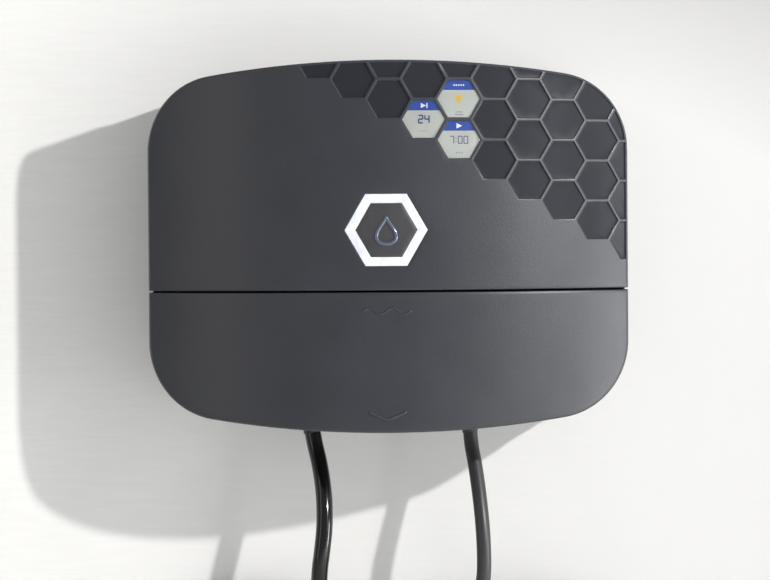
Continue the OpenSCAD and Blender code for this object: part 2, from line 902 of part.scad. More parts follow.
// Moulded three-pin plug that hangs with its pins down
module plug_body() {
    color(black) translate(plug_at) union() {
        rotate_extrude() polygon([
            [0, 0], [mains_d / 2 + 1, 0], [7, -24], [7, -26], [0, -26]]);
        translate([0, 0, -57]) linear_extrude(32) polygon([
            [-9, -14], [9, -14], [13, -10], [13, 10], [9, 14], [-9, 14], [-13, 10], [-13, -10]]);
    }
}

module plug_blades() {
    color([0.8, 0.7, 0.4]) translate(plug_at + [0, 0, -57]) union() {
        for (side = [-1, 1]) {
            block([side * 6.35 - 0.75, -7.2, -17.5], [side * 6.35 + 0.75, -0.9, 0]);
        }
        translate([0, 7.8, -19.5]) cylinder(h = 19.5, r = 2.4);
    }
}

module valve_end_cores() {
    start = valve_tail_route[len(valve_tail_route) - 1];
    color([0.8, 0.4, 0.2]) for (i = [1 : ways]) {
        a = core_start(i, start[0], start[1], start[2]);
        d = [start[0] + (i - (ways + 1) / 2) * 4.4, a[1], core_end_z + (i % 3) * 2];
        tube(concat([a], bezier_path(a - [0, 0, 2], a - [0, 0, 12], d + [0, 0, 12], d, 7)), core_r);
    }
}

// ---------------------------------------------------------------- pieces

back_housing();
upper_front_cover();
wiring_cover();
housing_gasket();
light_ring();
status_button();
switch_plunger();
tact_switch();
button_board();
ring_leds();
weather_lens();
clock_lens();
calendar_lens();
display_modules();
display_carrier();
ribbon_cables();
ribbon_sockets();
main_board();
logic_chips();
transformer_core();
transformer_winding();
transformer_bracket();
fuse_holder();
fuse_link();
filter_capacitors();
triacs();
radio_module();
radio_antenna();
coin_cell();
cell_holder();
terminal_block();
clamp_springs();
terminal_lever_1();
terminal_lever_2();
terminal_lever_3();
terminal_lever_4();
terminal_lever_5();
terminal_lever_6();
terminal_lever_7();
terminal_lever_8();
valve_conductors();
mains_cores();
mains_guard();
mains_strain_relief();
valve_strain_relief();
cover_screws();
inner_screws();
mains_lead();
mains_coil();
mains_tail();
mains_tie();
plug_body();
plug_blades();
valve_cable();
valve_coil();
valve_tail();
valve_tie();
valve_end_cores();
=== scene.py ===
"""Wall-mounted irrigation controller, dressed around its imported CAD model.

Metres, X right and Z up as seen from the front, the wall is the plane Y = 0 and the front looks toward -Y.
Shapes are worked out in millimetres in the helpers and scaled when a mesh is made.
"""

import math

import bmesh
import bpy
from mathutils import Matrix, Vector
from mathutils.geometry import delaunay_2d_cdt


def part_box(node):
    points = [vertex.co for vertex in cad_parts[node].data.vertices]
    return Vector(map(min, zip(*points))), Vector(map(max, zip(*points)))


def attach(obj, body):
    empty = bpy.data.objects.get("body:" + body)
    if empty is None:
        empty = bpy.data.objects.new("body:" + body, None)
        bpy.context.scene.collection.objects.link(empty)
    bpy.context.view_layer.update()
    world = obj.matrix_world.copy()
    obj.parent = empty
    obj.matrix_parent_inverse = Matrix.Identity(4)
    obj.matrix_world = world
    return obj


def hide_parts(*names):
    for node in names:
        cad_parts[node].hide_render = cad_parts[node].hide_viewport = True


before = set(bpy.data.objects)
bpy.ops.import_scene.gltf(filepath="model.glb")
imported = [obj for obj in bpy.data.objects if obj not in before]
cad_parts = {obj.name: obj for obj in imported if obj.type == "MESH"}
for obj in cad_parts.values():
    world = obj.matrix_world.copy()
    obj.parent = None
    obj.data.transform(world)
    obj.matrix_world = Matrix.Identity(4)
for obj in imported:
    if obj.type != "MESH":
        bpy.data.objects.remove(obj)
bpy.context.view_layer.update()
MM = 0.001
CASE = "case"
COVER = "wiring_cover"
BUTTON = "status_button"

# ---------------------------------------------------------------- sizes, in millimetres

cover_low, cover_high = [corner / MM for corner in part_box("upper_front_cover")]
lower_low, lower_high = [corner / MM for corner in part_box("wiring_cover")]
HALF_W = cover_high.x
HALF_H = cover_high.z
CROWN = -cover_low.y
RIM = 62.0
BOW = CROWN - RIM
FACE_R = (HALF_W ** 2 + BOW ** 2) / (2 * BOW)
FACE_Y = FACE_R - CROWN
EDGE_R = 670.0
EDGE_Z = EDGE_R - HALF_H
TOP_R = 38.5
BOTTOM_R = 39.5
COVER_BACK = -cover_high.y
LOWER_BACK = 49.3
COVER_WALL = 2.4
SKIN = 3.0
UPPER_Z = cover_low.z     # the seam's upper and lower sides
LOWER_Z = lower_high.z
FILLET = 1.4
SEAM_ROUND = 0.6

CELL_PITCH = 20.6
CELL_SIZE = 18.85
CELL_DEPTH = 1.0
CELL_WALL = 0.85
RECESS_SIZE = 19.9
COLUMN_STEP = CELL_PITCH * math.cos(math.radians(30))
COLUMN_X = 37.2
COLUMN_Z = 53.9
CELL_MARGIN = 0.9
WINDOWS = {
    "clock": (COLUMN_X, COLUMN_Z),
    "weather": (COLUMN_X, COLUMN_Z + CELL_PITCH),
    "calendar": (COLUMN_X - COLUMN_STEP, COLUMN_Z + CELL_PITCH / 2),
}

RING_Z = 8.4
RING_OUTER = 42.0
RING_INNER = 31.7
BUTTON_GAP = 0.35
HOLE_ROUND = 0.35

MAINS_D = 7.7
VALVE_D = 8.7
COIL_Z = -240.0
COIL_GAP = 1.5


# ---------------------------------------------------------------- shape of the case

def face_y(x):
    """Depth of the curved front at x, negative toward the viewer."""
    return FACE_Y - math.sqrt(FACE_R ** 2 - x ** 2)


def corner_of(radius):
    """Centre of a corner arc in the upper right, and the angle where it meets the bowed edge."""
    cx = HALF_W - radius
    cz = math.sqrt((EDGE_R - radius) ** 2 - cx ** 2) - EDGE_Z
    return cx, cz, math.atan2(cz + EDGE_Z, cx)


CORNERS = {1: corner_of(TOP_R), -1: corner_of(BOTTOM_R)}


def inset_of(x, z):
    """Distance from a point inside the case's outline to the outline."""
    up = 1 if z >= 0 else -1
    radius = TOP_R if up > 0 else BOTTOM_R
    cx, cz, turn = CORNERS[up]
    ax, az = abs(x), abs(z)
    if ax > cx and az > cz:
        angle = math.atan2(az - cz, ax - cx)
        if angle <= turn:
            return radius - math.hypot(ax - cx, az - cz)
    if math.atan2(az + EDGE_Z, ax) >= turn:
        return EDGE_R - math.hypot(ax, az + EDGE_Z)
    return min(HALF_W - ax, EDGE_R - math.hypot(ax, az + EDGE_Z))


def outline(inset, corner_steps=22, edge_steps=56):
    """The case's outline seen from the front, moved inward."""
    points = []
    for sx, sz in ((1, 1), (-1, 1), (-1, -1), (1, -1)):
        radius = TOP_R if sz > 0 else BOTTOM_R
        cx, cz, turn = CORNERS[sz]
        corner = []
        for i in range(corner_steps + 1):
            a = turn * i / corner_steps
            corner.append((cx + (radius - inset) * math.cos(a), cz + (radius - inset) * math.sin(a)))
        if sx * sz < 0:
            corner.reverse()
        points += [(sx * x, sz * z) for x, z in corner]
        if sx * sz > 0:
            for i in range(1, edge_steps):
                a = turn + (math.pi - 2 * turn) * i / edge_steps
                points.append((sz * (EDGE_R - inset) * math.cos(a),
                               sz * ((EDGE_R - inset) * math.sin(a) - EDGE_Z)))
    return points


def hexagon(centre, width, step=None):
    """A hexagon of a width over its left and right corners, its sides cut into steps."""
    corners = [(centre[0] + width / 2 * math.cos(math.radians(60 * k)),
                centre[1] + width / 2 * math.sin(math.radians(60 * k))) for k in range(6)]
    return corners if step is None else cut_sides(corners, step)


def cut_sides(corners, step):
    """A closed outline with points added along its sides."""
    points = []
    for a, b in zip(corners, corners[1:] + corners[:1]):
        n = max(1, round(math.dist(a, b) / step))
        points += [(a[0] + (b[0] - a[0]) * i / n, a[1] + (b[1] - a[1]) * i / n) for i in range(n)]
    return points


def across_corners(across_flats):
    """A hexagon's width over its corners."""
    return across_flats / math.cos(math.radians(30))


def hexagon_inset(x, z, centre, across_flats):
    """Distance inward from a hexagon's sides, negative outside it."""
    dx, dz = abs(x - centre[0]), abs(z - centre[1])
    return across_flats / 2 - max(dz, dx * math.cos(math.radians(30)) + dz * 0.5)


def quarter_round(distance, radius):
    """Depth of a rounded edge at a distance inside it."""
    if distance >= radius:
        return 0.0
    return radius - math.sqrt(max(0.0, radius ** 2 - (radius - distance) ** 2))


def soft_wall(distance, width):
    """Share of a recess's depth at a distance inside its rim."""
    t = min(max(distance / width, 0.0), 1.0)
    return t * t * t * (t * (6 * t - 15) + 10)


def honeycomb_cells():
    """Centres of the recesses: columns that end higher toward the left, without the three windows."""
    cells = []
    for n in range(-4, 6):
        row = 0
        while True:
            z = COLUMN_Z - n * CELL_PITCH / 2 + row * CELL_PITCH
            if z > HALF_H + CELL_SIZE / 2:
                break
            if not ((n == 0 and row < 2) or (n == -1 and row == 0)):
                cells.append((COLUMN_X + n * COLUMN_STEP, z))
            row += 1
    return cells


CELLS = honeycomb_cells()
RING_AT = (0.0, RING_Z)
RING_HOLE = RING_OUTER + 0.2
RING_HOLE_FLATS = RING_HOLE * math.cos(math.radians(30))


def cell_depth(x, z):
    """Depth of the honeycomb's recesses at a point."""
    deepest = 0.0
    for centre in CELLS:
        if abs(x - centre[0]) < 12 and abs(z - centre[1]) < 10:
            distance = hexagon_inset(x, z, centre, RECESS_SIZE)
            if distance > 0:
                distance = min(distance, inset_of(x, z) - CELL_MARGIN)
                deepest = max(deepest, soft_wall(distance, CELL_WALL))
    return deepest * CELL_DEPTH


# ---------------------------------------------------------------- mesh helpers

def new_object(name, bm, material, smooth=35):
    """A finished mesh object from millimetre geometry, shaded smooth except at sharp edges."""
    bmesh.ops.remove_doubles(bm, verts=bm.verts, dist=0.0005)
    bmesh.ops.recalc_face_normals(bm, faces=bm.faces)
    mesh = bpy.data.meshes.new(name)
    bm.to_mesh(mesh)
    bm.free()
    mesh.transform(Matrix.Scale(MM, 4))
    mesh.shade_smooth()
    mesh.set_sharp_from_angle(angle=math.radians(smooth))
    obj = bpy.data.objects.new(name, mesh)
    bpy.context.scene.collection.objects.link(obj)
    mesh.materials.append(material)
    return obj


def triangulate(loops, lines, loose, keep):
    """Plane triangles between closed loops, open lines and loose points, where keep says so."""
    coords = []
    edges = []
    for loop in loops:
        first = len(coords)
        coords += loop
        edges += [(first + i, first + (i + 1) % len(loop)) for i in range(len(loop))]
    for line in lines:
        first = len(coords)
        coords += line
        edges += [(first + i, first + i + 1) for i in range(len(line) - 1)]
    coords += loose
    points, _, faces, *_ = delaunay_2d_cdt([Vector(p) for p in coords], edges, [], 0, 1e-4)
    kept = []
    for face in faces:
        cx = sum(points[i].x for i in face) / 3
        cz = sum(points[i].y for i in face) / 3
        if keep(cx, cz):
            kept.append(face)
    return [(p.x, p.y) for p in points], kept


def add_sheet(bm, points, faces, depth_of):
    """Adds triangles to a mesh at the depth given for each point, and returns their edge rim."""
    made = {}
    for face in faces:
        for i in face:
            if i not in made:
                x, z = points[i]
                made[i] = bm.verts.new((x, depth_of(x, z), z))
    count = {}
    for face in faces:
        bm.faces.new([made[i] for i in face])
        for a, b in zip(face, list(face[1:]) + [face[0]]):
            key = (min(a, b), max(a, b))
            count[key] = count.get(key, 0) + 1
    return [(made[a], made[b]) for (a, b), n in count.items() if n == 1]


def add_walls(bm, rim, depths):
    """Straight walls along Y from rim edges to each of the depths in turn."""
    columns = {}
    for edge in rim:
        for vert in edge:
            if vert not in columns:
                column = [vert]
                for depth in depths:
                    y = depth(vert.co.x, vert.co.z) if callable(depth) else depth
                    column.append(bm.verts.new((vert.co.x, y, vert.co.z)))
                columns[vert] = column
    for a, b in rim:
        for i in range(len(depths)):
            quad = [columns[a][i], columns[b][i], columns[b][i + 1], columns[a][i + 1]]
            bm.faces.new(quad)
    return [(columns[a][-1], columns[b][-1]) for a, b in rim]


def grid_points(step_x, step_z, margin, clear_of=()):
    """Loose points that carry the curve of the face, kept away from the loops of features."""
    points = []
    nx = int(HALF_W // step_x)
    nz = int(HALF_H // step_z)
    for i in range(-nx, nx + 1):
        for k in range(-nz, nz + 1):
            x = i * step_x
            z = (k + 0.5 * (i % 2)) * step_z
            if inset_of(x, z) > margin and all(far(x, z) for far in clear_of):
                points.append((x, z))
    return points


def bridge(bm, rings, closed=False):
    """Faces between neighbouring rings of vertices. A ring of one vertex is a pole."""
    for low, high in zip(rings, rings[1:] + rings[:1] if closed else rings[1:]):
        sides = max(len(low), len(high))
        for k in range(sides):
            n = (k + 1) % sides
            corners = [low[k % len(low)], low[n % len(low)], high[n % len(high)], high[k % len(high)]]
            bm.faces.new(list(dict.fromkeys(corners)))


def cap_ends(bm, rings):
    bm.faces.new(rings[0])
    bm.faces.new(list(reversed(rings[-1])))


def lathe(name, profile, at, material, steps=40, smooth=35):
    """A piece turned about an upright axis. The profile is (radius, height) in millimetres."""
    bm = bmesh.new()
    rings = []
    for radius, z in profile:
        angles = [2 * math.pi * k / steps for k in range(steps if radius else 1)]
        rings.append([bm.verts.new((at[0] + radius * math.cos(a), at[1] + radius * math.sin(a), z))
                      for a in angles])
    bridge(bm, rings)
    return new_object(name, bm, material, smooth)


def smooth_path(points, step):
    """Points on a smooth curve through a route's points, about a step apart."""
    points = [Vector(p) for p in points]
    ends = [points[0] * 2 - points[1]] + points + [points[-1] * 2 - points[-2]]
    path = [points[0]]
    for p0, p1, p2, p3 in zip(ends, ends[1:], ends[2:], ends[3:]):
        n = max(1, round((p2 - p1).length / step))
        for i in range(1, n + 1):
            t = i / n
            path.append(0.5 * ((2 * p1) + (p2 - p0) * t + (2 * p0 - 5 * p1 + 4 * p2 - p3) * t * t
                               + (3 * p1 - p0 - 3 * p2 + p3) * t ** 3))
    return path


def add_tube(bm, path, radius, sides=20, round_ends=False):
    """A closed tube along a path, with frames carried smoothly from ring to ring."""
    last = len(path) - 1
    tangents = [(path[min(i + 1, last)] - path[max(i - 1, 0)]).normalized() for i in range(last + 1)]
    side = tangents[0].orthogonal().normalized()
    stations = []
    for i, (point, tangent) in enumerate(zip(path, tangents)):
        if i:
            side = tangents[i - 1].rotation_difference(tangent) @ side
            side = (side - tangent * side.dot(tangent)).normalized()
        stations.append((point, tangent, side.copy(), radius))
    if round_ends:
        steps = [(math.cos(a), math.sin(a)) for a in (1.45, 1.1, 0.7, 0.35)]
        p, t, s, r = stations[0]
        head = [(p - t * r * along, t, s, r * across) for across, along in steps]
        p, t, s, r = stations[-1]
        tail = [(p + t * r * along, t, s, r * across) for across, along in reversed(steps)]
        stations = head + stations + tail
    rings = []
    for point, tangent, side, r in stations:
        up = tangent.cross(side)
        rings.append([bm.verts.new(point + side * r * math.cos(2 * math.pi * k / sides)
                                   + up * r * math.sin(2 * math.pi * k / sides)) for k in range(sides)])
    bridge(bm, rings)
    cap_ends(bm, rings)


def rounded_rectangle(half_u, half_v, radius, steps):
    """Points (u, v, angle it faces) round the middle of a rectangle with rounded corners."""
    points = []
    for su, sv, start in ((1, 1, 0), (-1, 1, 90), (-1, -1, 180), (1, -1, 270)):
        for i in range(steps + 1):
            a = math.radians(start + 90 * i / steps)
            points.append((su * (half_u - radius) + radius * math.cos(a),
                           sv * (half_v - radius) + radius * math.sin(a), a))
    return points


def rounded_stack(bm, x, y, sections):
    """A closed stack of rounded rectangles round an upright line: (half x, half y, corner radius, z)."""
    rings = [[bm.verts.new((x + u, y + v, z)) for u, v, _ in rounded_rectangle(hx, hy, r, 6)]
             for hx, hy, r, z in sections]
    bridge(bm, rings)
    cap_ends(bm, rings)


def tube_object(name, paths, radius, material, sides=20, round_ends=False):
    """One piece of closed tubes along millimetre paths."""
    bm = bmesh.new()
    for path in paths:
        add_tube(bm, path, radius, sides, round_ends)
    return new_object(name, bm, material, 50)


def place(obj, body, slot, *nodes):
    """Makes a piece ride on a body and stand for CAD nodes."""
    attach(obj, body)
    if nodes:
        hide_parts(*nodes)
    return obj


# ---------------------------------------------------------------- camera

SENSOR = 36.0
LENS = 116.7
EYE = (23.2, -1362.0, 0.3)
TURN_LEFT = 1.09
PITCH_DOWN = 1.01
ROLL = 0.44

camera_data = bpy.data.cameras.new("camera")
camera_data.sensor_width = SENSOR
camera_data.lens = LENS
camera_data.clip_start = 0.01
camera_data.clip_end = 50
camera = bpy.data.objects.new("camera", camera_data)
camera.location = Vector(EYE) * MM
aim = Matrix.Rotation(math.radians(TURN_LEFT), 4, "Z")
aim = aim @ Matrix.Rotation(math.radians(90 - PITCH_DOWN), 4, "X")
camera.rotation_euler = (aim @ Matrix.Rotation(-math.radians(ROLL), 4, "Z")).to_euler()
bpy.context.scene.collection.objects.link(camera)
bpy.context.scene.camera = camera


# ---------------------------------------------------------------- materials

class Surface:
    """A Principled material, with short ways to make procedural detail for it."""

    def __init__(self, name, color, roughness, **values):
        """Values that are the same all over sit on the shader's own sockets."""
        self.mat = bpy.data.materials.new(name)
        self.mat.use_nodes = True
        self.tree = self.mat.node_tree
        self.shader = self.tree.nodes["Principled BSDF"]
        self.feed(Base_Color=color, Roughness=roughness, **values)

    def connect(self, value, socket):
        """Links a node's output to a socket, or gives the socket a plain value or colour."""
        if isinstance(value, bpy.types.NodeSocket):
            self.tree.links.new(value, socket)
        elif socket.type == "RGBA":
            socket.default_value = (*value, 1)
        else:
            socket.default_value = value

    def fill(self, node, inputs):
        """Connects a node's inputs by name. Underscores stand for spaces."""
        for key, value in inputs.items():
            self.connect(value, node.inputs[key.replace("_", " ")])
        return node

    def node(self, kind, **inputs):
        return self.fill(self.tree.nodes.new("ShaderNode" + kind), inputs)

    def feed(self, **inputs):
        self.fill(self.shader, inputs)

    def coordinates(self):
        return self.node("TexCoord").outputs["Object"]

    def noise(self, scale, detail=2.0, stretch=None):
        """Noise in the piece's own coordinates, which are true to size."""
        at = self.coordinates()
        if stretch:
            at = self.node("Mapping", Vector=at, Scale=stretch).outputs["Vector"]
        return self.node("TexNoise", Vector=at, Scale=scale, Detail=detail).outputs["Fac"]

    def mask(self, attribute):
        """A value painted on the mesh."""
        node = self.node("Attribute")
        node.attribute_name = attribute
        return node.outputs["Fac"]

    def ranged(self, value, low, high, from_low=0.3, from_high=0.7):
        """A value mapped from one range to another."""
        return self.node("MapRange", Value=value, From_Min=from_low, From_Max=from_high,
                         To_Min=low, To_Max=high).outputs["Result"]

    def mixed(self, factor, first, second, kind="RGBA"):
        node = self.node("Mix")
        node.data_type = kind
        return self.fill(node, {"Factor": factor, "A": first, "B": second}).outputs["Result"]

    def bump(self, height, strength, distance):
        raised = self.node("Bump", Height=height, Strength=strength, Distance=distance)
        self.feed(Normal=raised.outputs["Normal"])


def tinted(color, share):
    return [c * share for c in color]


def moulded_plastic(name, color, roughness, grain=2200, strength=0.25, depth=0.00006, spread=0.12, **values):
    """Moulded plastic with a fine spark-eroded grain and slight cloudiness."""
    made = Surface(name, color, roughness, **values)
    cloud = made.noise(45, 3)
    darker, lighter = tinted(color, 1 - spread), tinted(color, 1 + spread)
    made.feed(Base_Color=made.mixed(made.ranged(cloud, 0, 1), darker, lighter),
              Roughness=made.ranged(cloud, roughness * 0.9, roughness * 1.12))
    made.bump(made.noise(grain), strength, depth)
    return made.mat


def case_plastic():
    """Slate grey textured shell; cell floors smoother, with painted shade; painted highlights on ridges, wear
    on edges.
    """
    color = (0.030, 0.0323, 0.0405)
    made = Surface("case_plastic", color, 0.42)
    cloud = made.noise(30, 3)
    glint_and_wear_mask, floor = made.mask("glint_and_wear"), made.mask("cell")
    shell = made.mixed(made.ranged(cloud, 0, 1), tinted(color, 0.94), tinted(color, 1.08))
    # painted shade: cell floors darker than the rest of the shell
    shell = made.mixed(floor, shell, tinted(color, 0.82))
    rough = made.mixed(floor, made.ranged(cloud, 0.35, 0.41), 0.27, "FLOAT")
    # painted highlight: ridges between cells are paler; rubbed outline edges are paler from wear
    made.feed(Base_Color=made.mixed(glint_and_wear_mask, shell, (0.052, 0.056, 0.067)),
              Roughness=made.mixed(glint_and_wear_mask, rough, 0.16, "FLOAT"),
              Specular_IOR_Level=made.ranged(floor, 0.5, 0.1, 0, 1))
    calmed = made.node("Math")
    calmed.operation = "MULTIPLY"
    made.connect(made.noise(1700), calmed.inputs[0])
    made.connect(made.ranged(floor, 1, 0.25, 0, 1), calmed.inputs[1])
    made.bump(calmed.outputs["Value"], 0.6, 0.00012)
    return made.mat


def glowing_diffuser():
    """Milky diffuser lit from behind, with faint lilac and cyan patches between the hot spots."""
    made = Surface("glowing_diffuser", (0.24, 0.245, 0.25), 0.4, Emission_Strength=0.76)
    cyan = made.ranged(made.noise(230, 1), 0, 1, 0.42, 0.62)
    lilac = made.ranged(made.noise(170, 1), 0, 1, 0.5, 0.66)
    glow = made.mixed(cyan, (1.0, 1.0, 1.0), (0.76, 0.86, 0.95))
    made.feed(Emission_Color=made.mixed(lilac, glow, (0.78, 0.74, 0.96)))
    made.bump(made.noise(1500, 1), 0.08, 0.00003)
    return made.mat


def screen_plastic(name, color, glow):
    """A lit screen surface with the faint grain of a display."""
    made = Surface(name, color, 0.3, Emission_Strength=glow)
    tint = made.mixed(made.ranged(made.noise(2600, 1), 0, 1), tinted(color, 0.94), color)
    made.feed(Base_Color=tint, Emission_Color=tint)
    return made.mat


def clear_window():
    """Clear plastic with a barely seen ripple."""
    made = Surface("clear_window", (0.95, 0.97, 0.98), 0.04, IOR=1.46, Transmission_Weight=1.0)
    made.bump(made.noise(300, 1), 0.05, 0.00002)
    return made.mat


def brushed_metal(name, color, roughness=0.32):
    """Bare metal with fine streaks."""
    made = Surface(name, color, roughness, Metallic=1.0)
    streaks = made.noise(500, 2, (1, 1, 14))
    made.feed(Roughness=made.ranged(streaks, roughness * 0.7, roughness * 1.5))
    made.bump(streaks, 0.12, 0.00003)
    return made.mat


def circuit_board():
    """Green solder resist over copper tracks."""
    made = Surface("circuit_board", (0.015, 0.11, 0.055), 0.3)
    upright = made.node("Mapping", Vector=made.coordinates(), Rotation=(math.radians(90), 0, 0))
    tracks = made.node("TexBrick", Vector=upright.outputs["Vector"], Scale=130, Mortar_Size=0.03,
                       Color1=(0.012, 0.09, 0.045), Color2=(0.016, 0.12, 0.06), Mortar=(0.05, 0.22, 0.1))
    made.feed(Base_Color=tracks.outputs["Color"])
    made.bump(tracks.outputs["Fac"], 0.2, 0.00004)
    return made.mat


def layered(name, dark, light, scale, roughness, axis, metallic=0.0):
    """Thin layers or ribs across one axis, such as laminations, ribbon ribs or tape edges."""
    made = Surface(name, light, roughness, Metallic=metallic)
    wave = made.node("TexWave", Vector=made.coordinates(), Scale=scale, Distortion=0.15)
    wave.bands_direction = axis
    made.feed(Base_Color=made.mixed(wave.outputs["Fac"], dark, light))
    made.bump(wave.outputs["Fac"], 0.4, 0.0001)
    return made.mat


def woven_strap():
    """Woven hook-and-loop fabric."""
    made = Surface("woven_strap", (0.02, 0.02, 0.022), 0.85, Sheen_Weight=0.3)
    weave = made.noise(900, 2, (1, 1, 3))
    made.feed(Base_Color=made.mixed(made.ranged(weave, 0, 1), (0.012, 0.012, 0.013), (0.04, 0.04, 0.043)))
    made.bump(weave, 0.8, 0.0003)
    return made.mat


CASE_GREY = case_plastic()
HOUSING_GREY = moulded_plastic("housing_plastic", (0.032, 0.033, 0.038), 0.5, strength=0.4)
BLACK_PLASTIC = moulded_plastic("black_plastic", (0.014, 0.014, 0.015), 0.45)
BUTTON_GREY = moulded_plastic("button_plastic", (0.046, 0.046, 0.052), 0.4, grain=3000, strength=0.12)
GASKET = moulded_plastic("gasket_foam", (0.012, 0.012, 0.013), 0.8, grain=900, strength=0.8, depth=0.0002)
LEAD_GREY = moulded_plastic("lead_sheath", (0.030, 0.031, 0.033), 0.42, grain=1400, strength=0.2)
CABLE_BLACK = moulded_plastic("cable_sheath", (0.003, 0.003, 0.0035), 0.13, grain=500, strength=0.1,
                              depth=0.0001)
PLUG_BLACK = moulded_plastic("plug_plastic", (0.016, 0.016, 0.017), 0.4)
MARK_GLOSS = moulded_plastic("mark_gloss", (0.13, 0.15, 0.22), 0.14, grain=300, strength=0.03,
                             Metallic=0.55, Coat_Weight=1.0)
EMBLEM = moulded_plastic("emblem_gloss", (0.03, 0.034, 0.05), 0.16, grain=300, strength=0.03, Coat_Weight=0.6)
LED = moulded_plastic("led_package", (0.82, 0.78, 0.5), 0.3, grain=600, strength=0.1)
LEVER_ORANGE = moulded_plastic("lever_plastic", (0.75, 0.2, 0.02), 0.35)
TERMINAL_GREEN = moulded_plastic("terminal_plastic", (0.02, 0.17, 0.07), 0.42)
NYLON = moulded_plastic("nylon", (0.72, 0.66, 0.5), 0.4)
STEEL = brushed_metal("zinc_steel", (0.62, 0.63, 0.65))
BRASS = brushed_metal("brass", (0.78, 0.57, 0.26), 0.25)
COPPER = brushed_metal("copper", (0.8, 0.36, 0.2), 0.3)
BOARD = circuit_board()
RIBBON = layered("ribbon", (0.3, 0.31, 0.32), (0.5, 0.5, 0.5), 260, 0.45, "X")
LAMINATIONS = layered("laminations", (0.05, 0.05, 0.055), (0.24, 0.24, 0.25), 330, 0.45, "Y", 0.6)
TAPE = layered("winding_tape", (0.5, 0.36, 0.06), (0.8, 0.62, 0.2), 40, 0.35, "Z")
CAPACITOR = moulded_plastic("capacitor_sleeve", (0.012, 0.02, 0.08), 0.2)
FUSE_GLASS = Surface("fuse_glass", (0.8, 0.85, 0.85), 0.05, Transmission_Weight=0.7).mat
DIFFUSER = glowing_diffuser()
SCREEN = screen_plastic("screen_white", (0.57, 0.58, 0.535), 0.22)
SCREEN_BLUE = screen_plastic("screen_blue", (0.012, 0.06, 0.36), 0.3)
SCREEN_SIGN = screen_plastic("screen_sign", (0.85, 0.88, 0.9), 0.35)
SCREEN_SUN = screen_plastic("screen_sun", (0.72, 0.48, 0.01), 0.3)
SCREEN_INK = screen_plastic("screen_ink", (0.03, 0.06, 0.22), 0.1)
SCREEN_GREY = screen_plastic("screen_grey", (0.36, 0.37, 0.38), 0.1)
WINDOW = clear_window()
STRAP = woven_strap()
CORE_COLORS = [
    ("white", (0.75, 0.74, 0.7)), ("brown", (0.12, 0.045, 0.02)), ("red", (0.55, 0.02, 0.02)),
    ("orange", (0.75, 0.2, 0.02)), ("yellow", (0.8, 0.6, 0.04)), ("green", (0.03, 0.3, 0.07)),
    ("blue", (0.03, 0.09, 0.5)), ("black", (0.012, 0.012, 0.013)),
]
CORE_MATERIALS = [moulded_plastic("core_" + name, color, 0.32, grain=900, strength=0.08)
                  for name, color in CORE_COLORS]


# ---------------------------------------------------------------- cords

MAINS_ROUTE = [
    (42.6, -34, -97), (43.4, -35.4, -106), (44.8, -38.4, -114), (46.1, -42.4, -123),
    (47.2, -46.2, -132), (48.1, -49.4, -141), (48.8, -51.6, -150), (49.2, -52.8, -160),
    (49.2, -52.6, -170), (48.2, -50.6, -180), (45.5, -46.6, -190), (41.4, -41.2, -200),
    (36.4, -35.2, -210), (31.6, -29.4, -220), (28.3, -24.6, -230), (27, -21.4, -240),
]
MAINS_TAIL = [
    (35.0, -29.4, -240), (35.0, -29.9, -248), (35.0, -30.4, -257), (35.0, -30.7, -267),
    (35.0, -30.8, -277), (35.0, -30.8, -287), (35.0, -30.8, -297),
]
VALVE_ROUTE = [
    (-41.5, -34, -97), (-39.7, -35.4, -106), (-37.7, -38.4, -114), (-36, -42.4, -123),
    (-34.9, -46, -132), (-34.5, -48.8, -141), (-34.8, -50.6, -150), (-35.9, -51.4, -160),
    (-37.2, -50.8, -170), (-37.6, -48.2, -180), (-36, -43.6, -190), (-32.4, -37.6, -200),
    (-27.9, -31, -210), (-23.3, -24.5, -220), (-20.2, -18.5, -230), (-19, -14.9, -240),
]
VALVE_TAIL = [
    (-28.0, -23.9, -240), (-28.0, -24.3, -248), (-28.0, -24.6, -257), (-28.0, -24.7, -267),
    (-28.0, -24.7, -277), (-28.0, -24.7, -287), (-28.0, -24.7, -297),
]
MAINS_COIL = {"x": 73.0, "mean_r": 42.0, "diameter": MAINS_D, "row": 8, "rows": 3}
VALVE_COIL = {"x": -69.0, "mean_r": 45.5, "diameter": VALVE_D, "row": 9, "rows": 2}
ROUTE_STEP = 3.0
STRAP_SECTION = [(-6, 0), (-6, 0.8), (-5.6, 1.1), (5.6, 1.1), (6, 0.8), (6, 0)]
STRAP_GAP = 0.3


def eased(t, start, end):
    """A smooth change from 0 to 1 between two values of t."""
    t = min(max((t - start) / (end - start), 0.0), 1.0)
    return t * t * (3 - 2 * t)


def coil_points(x, mean_r, diameter, row, rows, start_angle, turn_sign, steps=48):
    """Turns of a coil of two columns: outward column from front to wall, inner column back to the front."""
    points = []
    total = 2 * rows
    for i in range(1, total * steps):
        t = i / steps
        radius = mean_r + row / 2 - row * eased(t, rows - 0.45, rows - 0.25)
        level = rows - 1
        for k in range(1, rows):
            level -= eased(t, k - 0.2, k)
        for k in range(rows, total):
            level += eased(t, k + 0.3, k + 0.5)
        angle = start_angle + turn_sign * 2 * math.pi * t
        y = -COIL_GAP - diameter / 2 - row * level
        points.append(Vector((x + radius * math.cos(angle), y, COIL_Z + radius * math.sin(angle))))
    return points


def make_cord(name, route, coil, start_angle, turn_sign, tail, material, slot, *nodes):
    """A cord and its centre line: the route to the coil, the wound turns, and the tail."""
    path = (smooth_path(route, ROUTE_STEP) + coil_points(**coil, start_angle=start_angle, turn_sign=turn_sign)
            + smooth_path(tail, ROUTE_STEP))
    return place(tube_object(name, [path], coil["diameter"] / 2, material), CASE, slot, *nodes), path


